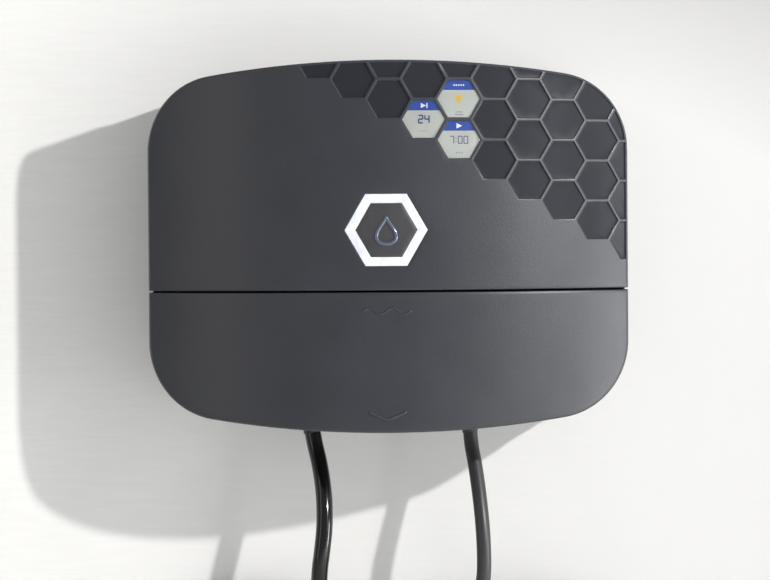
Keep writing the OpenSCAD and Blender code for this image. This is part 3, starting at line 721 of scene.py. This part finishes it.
mains_cord, mains_path = make_cord("mains_cord", MAINS_ROUTE, MAINS_COIL, math.pi, 1, MAINS_TAIL, LEAD_GREY,
                                   "lead_grey", "mains_lead", "mains_coil", "mains_tail")
valve_cord, valve_path = make_cord("valve_cord", VALVE_ROUTE, VALVE_COIL, 0, -1, VALVE_TAIL, CABLE_BLACK,
                                   "cable_black", "valve_cable", "valve_coil", "valve_tail")


def strap(name, node, x, mean_r, diameter, row, rows):
    """A hook-and-loop strap closed round the turns at the bottom of a coil."""
    half = row / 2 + diameter / 2 + STRAP_GAP
    depth = row * (rows - 1) + diameter + STRAP_GAP
    middle = Vector((x, -COIL_GAP - depth / 2 + STRAP_GAP / 2, COIL_Z - mean_r))
    bm = bmesh.new()
    rings = []
    for y, z, a in rounded_rectangle(depth / 2, half, diameter / 2, 8):
        out = Vector((0, math.cos(a), math.sin(a)))
        rings.append([bm.verts.new(middle + Vector((dx, y, z)) + out * lift) for dx, lift in STRAP_SECTION])
    bridge(bm, rings, closed=True)
    return place(new_object(name, bm, STRAP, 50), CASE, "tie_fabric", node)


mains_strap = strap("mains_strap", "mains_tie", **MAINS_COIL)
valve_strap = strap("valve_strap", "valve_tie", **VALVE_COIL)


def make_plug():
    """Moulded plug with a ribbed relief, rounded body and a grip waist."""
    x, y, z = MAINS_TAIL[-1]
    sections = [(4.4, 4.4, 4.4, z)]
    for i in range(6):
        top = z - 1.5 - i * 3.6
        for r, drop in ((4.7 + i * 0.42, 0), (4.7 + i * 0.42, 1.9), (4 + i * 0.42, 2.2), (4 + i * 0.42, 3.2)):
            sections.append((r, r, r * 0.99, top - drop))
    sections += [(hx, hy, r, z - drop) for hx, hy, r, drop in (
        (8.5, 9, 6, 24.2), (11.2, 12, 6, 25.3), (12.4, 13.3, 5, 27.5), (12.6, 13.5, 5, 31),
        (11.4, 12.6, 5, 36), (11.2, 12.4, 5, 42), (12.2, 13.3, 5, 49), (13, 14, 5, 53),
        (13, 14, 5, 55.8), (12.4, 13.4, 4.6, 56.8), (11.6, 12.6, 4, PLUG_LENGTH))]
    bm = bmesh.new()
    rounded_stack(bm, x, y, sections)
    return place(new_object("mains_plug", bm, PLUG_BLACK, 40), CASE, "plug_black", "plug_body")


def make_pins():
    """Two flat blades and a round earth pin, with eased tips."""
    x, y, z = MAINS_TAIL[-1]
    z -= PLUG_LENGTH
    bm = bmesh.new()
    for side in (-1, 1):
        rounded_stack(bm, x + side * 6.35, y - 4.05, [
            (0.75, 3.15, 0.3, z + 0.2), (0.75, 3.15, 0.3, z - 16),
            (0.6, 2.9, 0.3, z - 17), (0.35, 2.5, 0.3, z - 17.5)])
    rounded_stack(bm, x, y + 7.8, [(r, r, r - 0.05, z + rise) for r, rise in (
        (2.4, 0.2), (2.4, -17.6), (1.9, -18.9), (1.1, -19.5))])
    return place(new_object("plug_pins", bm, BRASS, 40), CASE, "brass", "plug_blades")


PLUG_LENGTH = 57
mains_plug = make_plug()
plug_pins = make_pins()


def bezier_path(a, b, c, d, n):
    """A cubic curve from a to d in n steps."""
    return [(1 - t) ** 3 * a + 3 * t * (1 - t) ** 2 * b + 3 * t * t * (1 - t) * c + t ** 3 * d
            for t in (i / n for i in range(n + 1))]


def core_start(i, x, y, z):
    """Where core i leaves the sheath: two staggered rows."""
    return Vector((x + (i // 2 - 1.5) * 2.4, y + (1.3 if i % 2 else -1.3), z))


def make_core_ends():
    """Eight coloured cores with bared copper ends where the valve cable stops."""
    start = VALVE_TAIL[-1]
    pieces = []
    for i, (name, _) in enumerate(CORE_COLORS):
        a = core_start(i, *start) + Vector((0, 0, 2))
        d = Vector((start[0] + (i - 3.5) * 4.4, a.y, -333 + ((i + 1) % 3) * 2))
        path = bezier_path(a, a - Vector((0, 0, 14)), d + Vector((0, 0, 12)), d, 20)
        insulation = tube_object("end_core_" + name, [path[:BARED_FROM]], CORE_R, CORE_MATERIALS[i], 14)
        pieces.append(place(insulation, CASE, "core_insulation", "valve_end_cores"))
        copper = tube_object("end_copper_" + name, [path[BARED_FROM - 2:]], 0.55, COPPER, 10, True)
        pieces.append(place(copper, CASE, "brass"))
    return pieces


CORE_R = 1.0
BARED_FROM = 16
core_ends = make_core_ends()


def make_relief(name, entry, diameter, material, slot, node):
    """A strain relief: lip, neck in the wall, flange, and a ribbed taper inside."""
    r = diameter / 2
    profile = [(0, -99.4), (r + 0.08, -99.4), (r + 0.16, -99.3), (r + 0.4, -97.6), (r + 0.8, -96.8),
               (6.2, -96.4), (6.8, -96.1), (7, -95.7), (7, -93.9), (6.7, -93.5), (5.9, -93.3),
               (5.9, -88.2), (8.1, -88), (8.4, -87.7), (8.4, -86.3), (8.1, -86)]
    for k in range(4):
        wide = r + 2.2 - 0.4 * k
        z = -85.8 + 1.65 * k
        profile += [(wide, z), (wide, z + 0.9), (wide - 0.6, z + 1.05), (wide - 0.6, z + 1.5)]
    profile += [(r + 0.5, RELIEF_TOP - 0.1), (r + 0.2, RELIEF_TOP), (0, RELIEF_TOP)]
    place(lathe(name, profile, entry, material), CASE, slot, node)


MAINS_ENTRY = MAINS_ROUTE[0]
VALVE_ENTRY = VALVE_ROUTE[0]
RELIEF_TOP = -79.0
make_relief("mains_relief", MAINS_ENTRY, MAINS_D, LEAD_GREY, "lead_grey", "mains_strain_relief")
make_relief("valve_relief", VALVE_ENTRY, VALVE_D, CABLE_BLACK, "cable_black", "valve_strain_relief")

WAYS = 8
TERMINAL_X = -16.0
TERMINAL_PITCH = 11.0


def inner_conductors():
    """Coloured cores from the strain reliefs to the terminals and to the transformer."""
    for i, (name, _) in enumerate(CORE_COLORS):
        a = core_start(i, VALVE_ENTRY[0], VALVE_ENTRY[1], -80)
        d = Vector((TERMINAL_X + (i + 0.5 - WAYS / 2) * TERMINAL_PITCH, -22, -51))
        side = Vector((0, 3 if i % 2 else -3, 0))
        rise = Vector((0, 0, 2))
        path = [a - rise * 0.6] + bezier_path(a + rise, a + side + Vector((0, 0, 13)),
                                              d + side - Vector((0, 0, 17)), d, 22)
        core = tube_object("zone_core_" + name, [path], CORE_R, CORE_MATERIALS[i], 14)
        place(core, CASE, "core_insulation", "valve_conductors")
    for k, tint in ((-1, 7), (0, 5), (1, 0)):
        a = Vector((MAINS_ENTRY[0] + k * 2.9, MAINS_ENTRY[1], -80))
        b = Vector((54 + k * 2.9, -30, -24))
        c = Vector((64 + k * 5, -31, 0.1))
        up = bezier_path(a + Vector((0, 0, 2)), a + Vector((0, 0, 24)), b - Vector((0, 0, 20)), b, 16)
        on = bezier_path(b, b + Vector((0, 0, 10)), c - Vector((0, 0, 10)), c - Vector((0, 0, 2)), 10)
        path = [a - Vector((0, 0, 1.2))] + up + on[1:] + [c]
        core = tube_object("mains_core_" + CORE_COLORS[tint][0], [path], 1.35, CORE_MATERIALS[tint], 14)
        place(core, CASE, "mains_insulation", "mains_cores")


inner_conductors()


# ---------------------------------------------------------------- front covers


def eased_steps(width, angles):
    """Distances inward at which the loops of a rounded edge lie."""
    return [width * (1 - math.cos(math.radians(a))) for a in angles]


GRID_X = 3.125
FILLET_STEPS = eased_steps(FILLET, (0, 15, 30, 45, 60, 75, 90))
SEAM_STEPS = eased_steps(SEAM_ROUND, (0, 25, 50, 90))
HOLE_STEPS = eased_steps(HOLE_ROUND, (0, 30, 60, 90))
CELL_STEPS = [CELL_WALL * share for share in (0, 0.2, 0.38, 0.55, 0.72, 0.88, 1.0)]
CELL_SHOULDER = -0.14


def opening_insets(x, z):
    """Distances inward from the sides of the upper cover's openings, for the ring and the windows."""
    return [hexagon_inset(x, z, RING_AT, RING_HOLE_FLATS)] + [
        hexagon_inset(x, z, at, CELL_SIZE) for at in WINDOWS.values()]


def front_depth(x, z):
    """Everything that lowers the front of the covers below the plain curved face."""
    seam = min(abs(z - UPPER_Z), abs(z - LOWER_Z))
    openings = max(quarter_round(max(-inset, 0), HOLE_ROUND) for inset in opening_insets(x, z))
    return (quarter_round(max(inset_of(x, z), 0), FILLET) + quarter_round(seam, SEAM_ROUND)
            + cell_depth(x, z) + openings)


def seam_line(z, lift=0.0):
    """A straight line over the seam on the grid's own columns, so the curve stays even beside it."""
    n = int(HALF_W // GRID_X)
    return [(-HALF_W, z)] + [((i + 0.5 * lift) * GRID_X, z) for i in range(-n, n)] + [(HALF_W, z)]


def cell_loops():
    """Nested outlines of every recess, which its walls follow."""
    return [hexagon(centre, across_corners(RECESS_SIZE - 2 * step), 4)
            for centre in CELLS for step in [CELL_SHOULDER] + CELL_STEPS]


def opening_loops(growth):
    """Outlines of the openings, grown outward."""
    return [hexagon(RING_AT, RING_HOLE + 2 * growth / math.cos(math.radians(30)), 4)] + [
        hexagon(at, across_corners(CELL_SIZE + 2 * growth), 4) for at in WINDOWS.values()]


def away_from_features(x, z):
    """Whether a loose grid point stays clear of the loops and lines of all features."""
    if min(abs(inset) for inset in opening_insets(x, z)) < 1.2:
        return False
    for centre in CELLS:
        if abs(x - centre[0]) < 12 and abs(z - centre[1]) < 11:
            if -0.6 < hexagon_inset(x, z, centre, RECESS_SIZE) < CELL_WALL + 0.6:
                return False
    return min(abs(z - UPPER_Z), abs(z - LOWER_Z)) > 4.6


def make_cover(name, node, body, upper):
    """A closed moulded shell: front, openings, side walls, rim and inner face."""
    edge_z = UPPER_Z if upper else LOWER_Z
    sign = 1 if upper else -1
    back = -COVER_BACK if upper else -LOWER_BACK

    def within(x, z, inset):
        return inset_of(x, z) >= inset and (z - edge_z) * sign >= inset

    def solid(x, z, inset):
        return within(x, z, inset) and not (upper and max(opening_insets(x, z)) > 0)

    def at_opening(edge):
        x = (edge[0].co.x + edge[1].co.x) / 2
        z = (edge[0].co.z + edge[1].co.z) / 2
        return upper and min(abs(inset) for inset in opening_insets(x, z)) < 0.05

    loops = [outline(step) for step in FILLET_STEPS]
    if upper:
        loops += [outline(CELL_MARGIN + step) for step in CELL_STEPS[1:]] + cell_loops()
        for step in HOLE_STEPS:
            loops += opening_loops(step)
    lines = [seam_line(edge_z + sign * step, i % 2) for i, step in enumerate(SEAM_STEPS + [1.8, 3.6])]
    bm = bmesh.new()
    points, faces = triangulate(loops, lines, grid_points(GRID_X, 5, 3.0, [away_from_features]),
                                lambda x, z: solid(x, z, 0))
    rim = add_sheet(bm, points, faces, lambda x, z: face_y(x) + front_depth(x, z))
    points, faces = triangulate([outline(COVER_WALL)] + (opening_loops(0) if upper else []),
                                [seam_line(edge_z + sign * COVER_WALL)], grid_points(8, 12, 5),
                                lambda x, z: solid(x, z, COVER_WALL))
    inner_rim = add_sheet(bm, points, faces, lambda x, z: face_y(x) + SKIN)

    add_walls(bm, [e for e in rim if at_opening(e)], [lambda x, z: face_y(x) + SKIN])
    back_edges = add_walls(bm, [e for e in rim if not at_opening(e)],
                           [lambda x, z: min(face_y(x) + 6, back - 1), back])
    back_edges += add_walls(bm, [e for e in inner_rim if not at_opening(e)], [back])
    points, faces = triangulate([], [[(a.co.x, a.co.z), (b.co.x, b.co.z)] for a, b in back_edges], [],
                                lambda x, z: within(x, z, 0) and not within(x, z, COVER_WALL))
    add_sheet(bm, points, faces, lambda x, z: back)
    shell = new_object(name, bm, CASE_GREY, 32)
    paint_masks(shell)
    place(shell, body, "case_grey", node)


def paint_masks(obj):
    """Marks cell floors for their painted shade, ridges for painted highlights and rubbed edges for wear."""
    mesh = obj.data
    cell = mesh.attributes.new("cell", "FLOAT", "POINT")
    glint_and_wear = mesh.attributes.new("glint_and_wear", "FLOAT", "POINT")
    for i, vert in enumerate(mesh.vertices):
        x, z = vert.co.x / MM, vert.co.z / MM
        if vert.co.y / MM > face_y(min(max(x, -HALF_W), HALF_W)) + 2.9:
            continue
        depth = cell_depth(x, z) / CELL_DEPTH
        cell.data[i].value = depth
        # painted highlight: the ridges between cells get the paler, glossier finish
        ridge = 1.0 if 0.002 < depth < 0.97 else 0.0
        # rubbed wear along the outline's edge
        edge = 0.5 if 0.1 < inset_of(x, z) < 1.0 else 0.0
        glint_and_wear.data[i].value = max(ridge, edge)


make_cover("front_shell", "upper_front_cover", CASE, True)
make_cover("wiring_shell", "wiring_cover", COVER, False)


# ---------------------------------------------------------------- ring, button, displays

def hexagon_plug(name, centre, flats, front_drop, back_drop, material, hole_flats=0.0, rounding=0.3):
    """A hexagonal piece whose front and back follow the curved face, with rounded front edges."""
    step = 2.5
    rounds = eased_steps(rounding, (0, 30, 60, 90))
    loops = [hexagon(centre, across_corners(flats - 2 * r), step) for r in rounds]
    back_loops = loops[:1]
    if hole_flats:
        holes = [hexagon(centre, across_corners(hole_flats + 2 * r), step) for r in rounds]
        loops += holes
        back_loops += holes[:1]

    def insets(x, z):
        """Distances inward from the outer sides, and from the hole's."""
        outer = [hexagon_inset(x, z, centre, flats)]
        return outer + ([-hexagon_inset(x, z, centre, hole_flats)] if hole_flats else [])

    def keep(x, z):
        return min(insets(x, z)) > 0

    def front(x, z):
        return face_y(x) + front_drop + sum(quarter_round(max(inset, 0), rounding) for inset in insets(x, z))

    def back(x, z):
        return face_y(x) + back_drop

    n = int(flats // step)
    grid = [(centre[0] + i * step, centre[1] + (k + 0.5 * (i % 2)) * step)
            for i in range(-n, n + 1) for k in range(-n, n + 1)]
    loose = [(x, z) for x, z in grid if min(insets(x, z)) > 1]
    bm = bmesh.new()
    rim = add_sheet(bm, *triangulate(loops, [], loose, keep), front)
    add_sheet(bm, *triangulate(back_loops, [], loose, keep), back)
    add_walls(bm, rim, [back])
    return new_object(name, bm, material, 32)


RING_FLATS = RING_OUTER * math.cos(math.radians(30))
RING_HOLE_IN = RING_INNER * math.cos(math.radians(30))
BUTTON_FLATS = RING_HOLE_IN - 2 * BUTTON_GAP
place(hexagon_plug("ring_diffuser", RING_AT, RING_FLATS, 0.0, 8.0, DIFFUSER, RING_HOLE_IN), CASE,
      "light_diffuser", "light_ring")
place(hexagon_plug("button_cap", RING_AT, BUTTON_FLATS, 0.15, 9.5, BUTTON_GREY, 0, 0.5), BUTTON,
      "button_gloss", "status_button")


def drop_outline(width, height, n=72):
    """A drop with its tip up."""
    turns = [2 * math.pi * i / n for i in range(n)]
    return [(width * math.sin(t) * math.sin(t / 2) ** 1.6, height * math.cos(t)) for t in turns]


def ridge_mark(name, line, radius, sink, material, body, slot, closed=False):
    """A rounded ridge that follows a line on the curved face."""
    path = [Vector((x, face_y(x) + sink, z)) for x, z in line]
    bm = bmesh.new()
    if closed:
        out = Vector((0, -1, 0))
        angles = [2 * math.pi * k / 12 for k in range(12)]
        rings = []
        for i, point in enumerate(path):
            across = (path[(i + 1) % len(path)] - path[i - 1]).normalized().cross(out).normalized()
            rings.append([bm.verts.new(point + across * radius * math.cos(a)
                                       + out * radius * 0.8 * math.sin(a)) for a in angles])
        bridge(bm, rings, closed=True)
    else:
        add_tube(bm, path, radius, 12, True)
    place(new_object(name, bm, material, 60), body, slot)


drop_line = [(x, z + RING_Z - 0.4) for x, z in drop_outline(7.3, 6.7)]
ridge_mark("drop_mark", drop_line, 1.0, 0.2, MARK_GLOSS, BUTTON, "button_gloss", closed=True)
chevron = [(-9.0, -84.0), (-4.5, -86.0), (-1.2, -87.4), (0, -87.6), (1.2, -87.4), (4.5, -86.0), (9.0, -84.0)]
chevron_line = [(p.x, p.z) for p in smooth_path([(x, 0, z) for x, z in chevron], 0.8)]
ridge_mark("pull_mark", chevron_line, 0.8, 0.2, EMBLEM, COVER, "case_grey")
WAVE_PERIOD = 12
WAVE_HEIGHT = 1.5
WAVE_Z = -32.6
wave_line = [(x, WAVE_HEIGHT * math.sin(2 * math.pi * x / WAVE_PERIOD) + WAVE_Z)
             for x in (0.5 * i - WAVE_PERIOD for i in range(49))]
ridge_mark("wave_mark", wave_line, 0.6, 0.12, EMBLEM, COVER, "case_grey")


def inside_polygon(x, z, corners):
    """Whether a point lies inside a closed outline, by counting crossings."""
    inside = False
    for (ax, az), (bx, bz) in zip(corners, corners[1:] + corners[:1]):
        if (az > z) != (bz > z) and x < ax + (bx - ax) * (z - az) / (bz - az):
            inside = not inside
    return inside


def flat_sign(bm, centre, polygon, drop, thickness):
    """A thin printed shape that follows a curved screen just in front of it."""
    loop = [(centre[0] + u, centre[1] + v) for u, v in cut_sides(polygon, 1.6)]
    points, faces = triangulate([loop], [], [], lambda x, z: inside_polygon(x, z, loop))
    rim = add_sheet(bm, points, faces, lambda x, z: face_y(x) + drop)
    add_sheet(bm, points, faces, lambda x, z: face_y(x) + drop + thickness)
    add_walls(bm, rim, [lambda x, z: face_y(x) + drop + thickness])


def circle_points(u, v, radius, n=24):
    return [(u + radius * math.cos(2 * math.pi * i / n), v + radius * math.sin(2 * math.pi * i / n))
            for i in range(n)]


def bar_points(a, b, width):
    """A straight bar from a to b."""
    direction = Vector((b[0] - a[0], b[1] - a[1])).normalized()
    side = Vector((-direction.y, direction.x)) * width / 2
    return [(a[0] + side.x, a[1] + side.y), (a[0] - side.x, a[1] - side.y),
            (b[0] - side.x, b[1] - side.y), (b[0] + side.x, b[1] + side.y)]


SEGMENTS = {"0": "abcdef", "2": "abged", "4": "fgbc", "7": "abc"}
SEGMENT_LINES = {
    "a": ((0, 1), (1, 1)), "b": ((1, 1), (1, 0.5)), "c": ((1, 0.5), (1, 0)), "d": ((0, 0), (1, 0)),
    "e": ((0, 0.5), (0, 0)), "f": ((0, 1), (0, 0.5)), "g": ((0, 0.5), (1, 0.5)),
}


def digit_bars(text, left, base, width, height, gap, stroke):
    """Plain segment digits, and a colon, as bars."""
    bars = []
    at = left
    for char in text:
        if char == ":":
            for share in (0.28, 0.72):
                bars.append(circle_points(at + stroke / 2, base + height * share, stroke * 0.62, 10))
            at += stroke + gap
            continue
        for key in SEGMENTS[char]:
            (ax, az), (bx, bz) = SEGMENT_LINES[key]
            a = (at + ax * width, base + az * height)
            b = (at + bx * width, base + bz * height)
            bars.append(bar_points(a, b, stroke))
        at += width + gap
    return bars


SCREEN_FLATS = CELL_SIZE - 0.25
SCREEN_DROP = 1.15
BAND = 4.9
SIGN_THICKNESS = 0.06


def header_band(flats, low):
    """The part of a screen's outline above a height."""
    corners = []
    for v, side in ((low, -1), (low, 1), (flats / 2, 1), (flats / 2, -1)):
        corners.append((side * (across_corners(flats) / 2 - v / math.tan(math.radians(60))), v))
    return corners


def make_display(kind, centre):
    """A screen with its header band, signs and digits, and the window before it."""
    plate = hexagon_plug(kind + "_screen", centre, SCREEN_FLATS, SCREEN_DROP, 6.5, SCREEN, rounding=0.08)
    place(plate, CASE, "display_face", *(["display_modules"] if kind == "clock" else []))
    materials = {"header": SCREEN_BLUE, "sun": SCREEN_SUN, "sign": SCREEN_SIGN, "ink": SCREEN_INK,
                 "small": SCREEN_GREY}
    layers = {name: bmesh.new() for name in materials}
    middle = CELL_SIZE / 2 - BAND / 2

    def draw(layer, polygon, thickness=SIGN_THICKNESS):
        lift = SIGN_THICKNESS if layer == "sign" else 0
        flat_sign(layers[layer], centre, polygon, SCREEN_DROP - 0.05 - lift, thickness)

    draw("header", header_band(SCREEN_FLATS - 0.3, CELL_SIZE / 2 - BAND), 0.1)
    if kind == "weather":
        for i in range(5):
            draw("sign", circle_points(-2.4 + i * 1.2, middle, 0.42, 12))
        draw("sun", circle_points(-0.1, 0.2, 1.45, 28))
        for i in range(12):
            a = 2 * math.pi * i / 12
            start, end = [(-0.1 + r * math.cos(a), 0.2 + r * math.sin(a)) for r in (2.0, 2.8)]
            draw("sun", bar_points(start, end, 0.28))
        draw("small", bar_points((-2.2, -7.9), (2.2, -7.9), 0.7))
        draw("ink", bar_points((-1.6, -6.6), (1.6, -6.6), 0.25))
    if kind == "calendar":
        draw("sign", [(-1.4, middle + 1.3), (-1.4, middle - 1.3), (1.2, middle)])
        draw("sign", bar_points((1.7, middle - 1.3), (1.7, middle + 1.3), 0.5))
        for bar in digit_bars("24", -2.6, -1.8, 2.1, 3.8, 1.1, 0.72):
            draw("ink", bar)
        for i in range(4):
            draw("small", circle_points(-1.5 + i, -5.9, 0.3, 10))
    if kind == "clock":
        draw("sign", [(-1.3, middle + 1.4), (-1.3, middle - 1.4), (1.6, middle)])
        for bar in digit_bars("7:00", -4.6, -1.9, 1.9, 3.6, 0.95, 0.42):
            draw("ink", bar)
        for i in range(3):
            draw("small", bar_points((-1.6 + i * 1.3, -6.6), (-0.9 + i * 1.3, -6.6), 0.9))
    for name, bm in layers.items():
        if bm.faces:
            place(new_object(kind + "_" + name, bm, materials[name], 30), CASE, "display_face")
        else:
            bm.free()
    lens = hexagon_plug(kind + "_window", centre, CELL_SIZE - 0.2, 0.1, 0.9, WINDOW, rounding=0.25)
    place(lens, CASE, "window_clear", kind + "_lens")


for kind, centre in WINDOWS.items():
    make_display(kind, centre)


# ---------------------------------------------------------------- finishes of the CAD pieces kept as they are

for material, names in (
        (HOUSING_GREY, ["back_housing"]),
        (GASKET, ["housing_gasket"]),
        (STEEL, ["cover_screws", "inner_screws", "transformer_bracket", "radio_module", "coin_cell",
                 "clamp_springs"]),
        (BLACK_PLASTIC, ["display_carrier", "tact_switch", "ribbon_sockets", "logic_chips", "triacs",
                         "fuse_holder", "cell_holder", "mains_guard"]),
        (NYLON, ["switch_plunger"]),
        (BOARD, ["main_board", "button_board"]),
        (LED, ["ring_leds"]),
        (RIBBON, ["ribbon_cables"]),
        (LAMINATIONS, ["transformer_core"]),
        (TAPE, ["transformer_winding"]),
        (FUSE_GLASS, ["fuse_link"]),
        (CAPACITOR, ["filter_capacitors"]),
        (BRASS, ["radio_antenna"]),
        (TERMINAL_GREEN, ["terminal_block"]),
        (LEVER_ORANGE, ["terminal_lever_" + str(i) for i in range(1, WAYS + 1)])):
    for name in names:
        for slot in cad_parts[name].material_slots:
            slot.material = material


# ---------------------------------------------------------------- stage, light

def stage_plane(name, corners, faces, material):
    """A flat piece of the stage, in metres."""
    mesh = bpy.data.meshes.new(name)
    mesh.from_pydata(corners, [], faces)
    mesh.materials.append(material)
    obj = bpy.data.objects.new(name, mesh)
    bpy.context.scene.collection.objects.link(obj)


def shaded_toward(made, color, direction, start, end, darker):
    """Painted shade: a colour that turns smoothly darker along a direction across the wall."""
    along = made.node("VectorMath")
    along.operation = "DOT_PRODUCT"
    made.connect(made.coordinates(), along.inputs[0])
    made.connect(direction, along.inputs[1])
    return made.mixed(made.ranged(along.outputs["Value"], 0, 1, start, end), color, (darker, darker, darker))


def open_backed(mat):
    """Leaves a stage surface clear from its back, so that views from behind or below see in."""
    nodes, links = mat.node_tree.nodes, mat.node_tree.links
    clear = nodes.new("ShaderNodeBsdfTransparent")
    facing = nodes.new("ShaderNodeNewGeometry")
    mix = nodes.new("ShaderNodeMixShader")
    links.new(facing.outputs["Backfacing"], mix.inputs["Fac"])
    links.new(nodes["Principled BSDF"].outputs["BSDF"], mix.inputs[1])
    links.new(clear.outputs["BSDF"], mix.inputs[2])
    links.new(mix.outputs["Shader"], nodes["Material Output"].inputs["Surface"])
    return mat


def wall_paint():
    """Near-white paint with faint level streaks, and painted shade toward the right and in the upper right
    corner.
    """
    made = Surface("wall_paint", (0.92, 0.92, 0.91), 0.8)
    streaks = made.noise(640, 3, (0.07, 1, 1))
    paint = made.mixed(made.ranged(streaks, 0, 1), (0.925, 0.925, 0.915), (0.955, 0.955, 0.945))
    # painted shade: darker toward the right, where the key lamp lights the wall more
    even = shaded_toward(made, paint, (1, 0, 0), -0.2, 0.22, 0.58)
    # painted shade: a soft shadow over the upper right corner
    made.feed(Base_Color=shaded_toward(made, even, (0.45, 0, 0.89), 0.13, 0.25, 0.36))
    made.bump(streaks, 0.2, 0.0003)
    return open_backed(made.mat)


WALL = 4.0
WALL_Y = 0.001
FLOOR_Z = -0.42
OPEN_INSET = 8.0


def wall_mesh():
    """The wall, left open behind the case so that its back is lit in views from behind."""
    reach, low = WALL / MM, FLOOR_Z / MM

    def on_wall(x, z):
        return abs(x) > HALF_W or abs(z) > HALF_H or inset_of(x, z) < OPEN_INSET

    points, faces = triangulate([[(-reach, low), (reach, low), (reach, reach), (-reach, reach)],
                                 outline(OPEN_INSET)], [], [], on_wall)
    return [(x * MM, WALL_Y, z * MM) for x, z in points], faces


floor_paint = moulded_plastic("floor_paint", (0.8, 0.8, 0.79), 0.7, grain=200, spread=0.02)
floor_corners = [(x * WALL, y * WALL, FLOOR_Z) for x, y in ((-1, -1), (1, -1), (1, 1), (-1, 1))]
stage_plane("wall", *wall_mesh(), wall_paint())
stage_plane("floor", floor_corners, [(0, 1, 2, 3)], open_backed(floor_paint))


def add_light(name, kind, energy, location, size, size_y=None, color=(1, 1, 1)):
    """A light aimed at the middle of the case's back."""
    data = bpy.data.lights.new(name, kind)
    data.energy = energy
    data.color = color
    if kind == "AREA":
        data.shape = "RECTANGLE"
        data.size = size
        data.size_y = size_y
    else:
        data.shadow_soft_size = size
    light = bpy.data.objects.new(name, data)
    light.location = location
    light.rotation_euler = (-Vector(location)).to_track_quat("-Z", "Y").to_euler()
    bpy.context.scene.collection.objects.link(light)


add_light("key", "POINT", 68, (1.0, -0.95, 0.46), 0.022, color=(1.0, 0.985, 0.96))
add_light("right_panel", "AREA", 9, (1.5, -0.52, -0.18), 0.25, 0.5)
add_light("strip", "AREA", 2.2, (1.02, -0.97, -0.2), 0.04, 1.5)
add_light("left_panel", "AREA", 3.5, (-1.6, -1.3, 0.15), 0.3, 1.6, color=(1.0, 0.92, 0.82))

world = bpy.data.worlds.new("studio")
bpy.context.scene.world = world
world.use_nodes = True
world.node_tree.nodes["Background"].inputs["Color"].default_value = (0.95, 0.97, 1.0, 1)
world.node_tree.nodes["Background"].inputs["Strength"].default_value = 0.4
bpy.context.scene.view_settings.view_transform = "Standard"
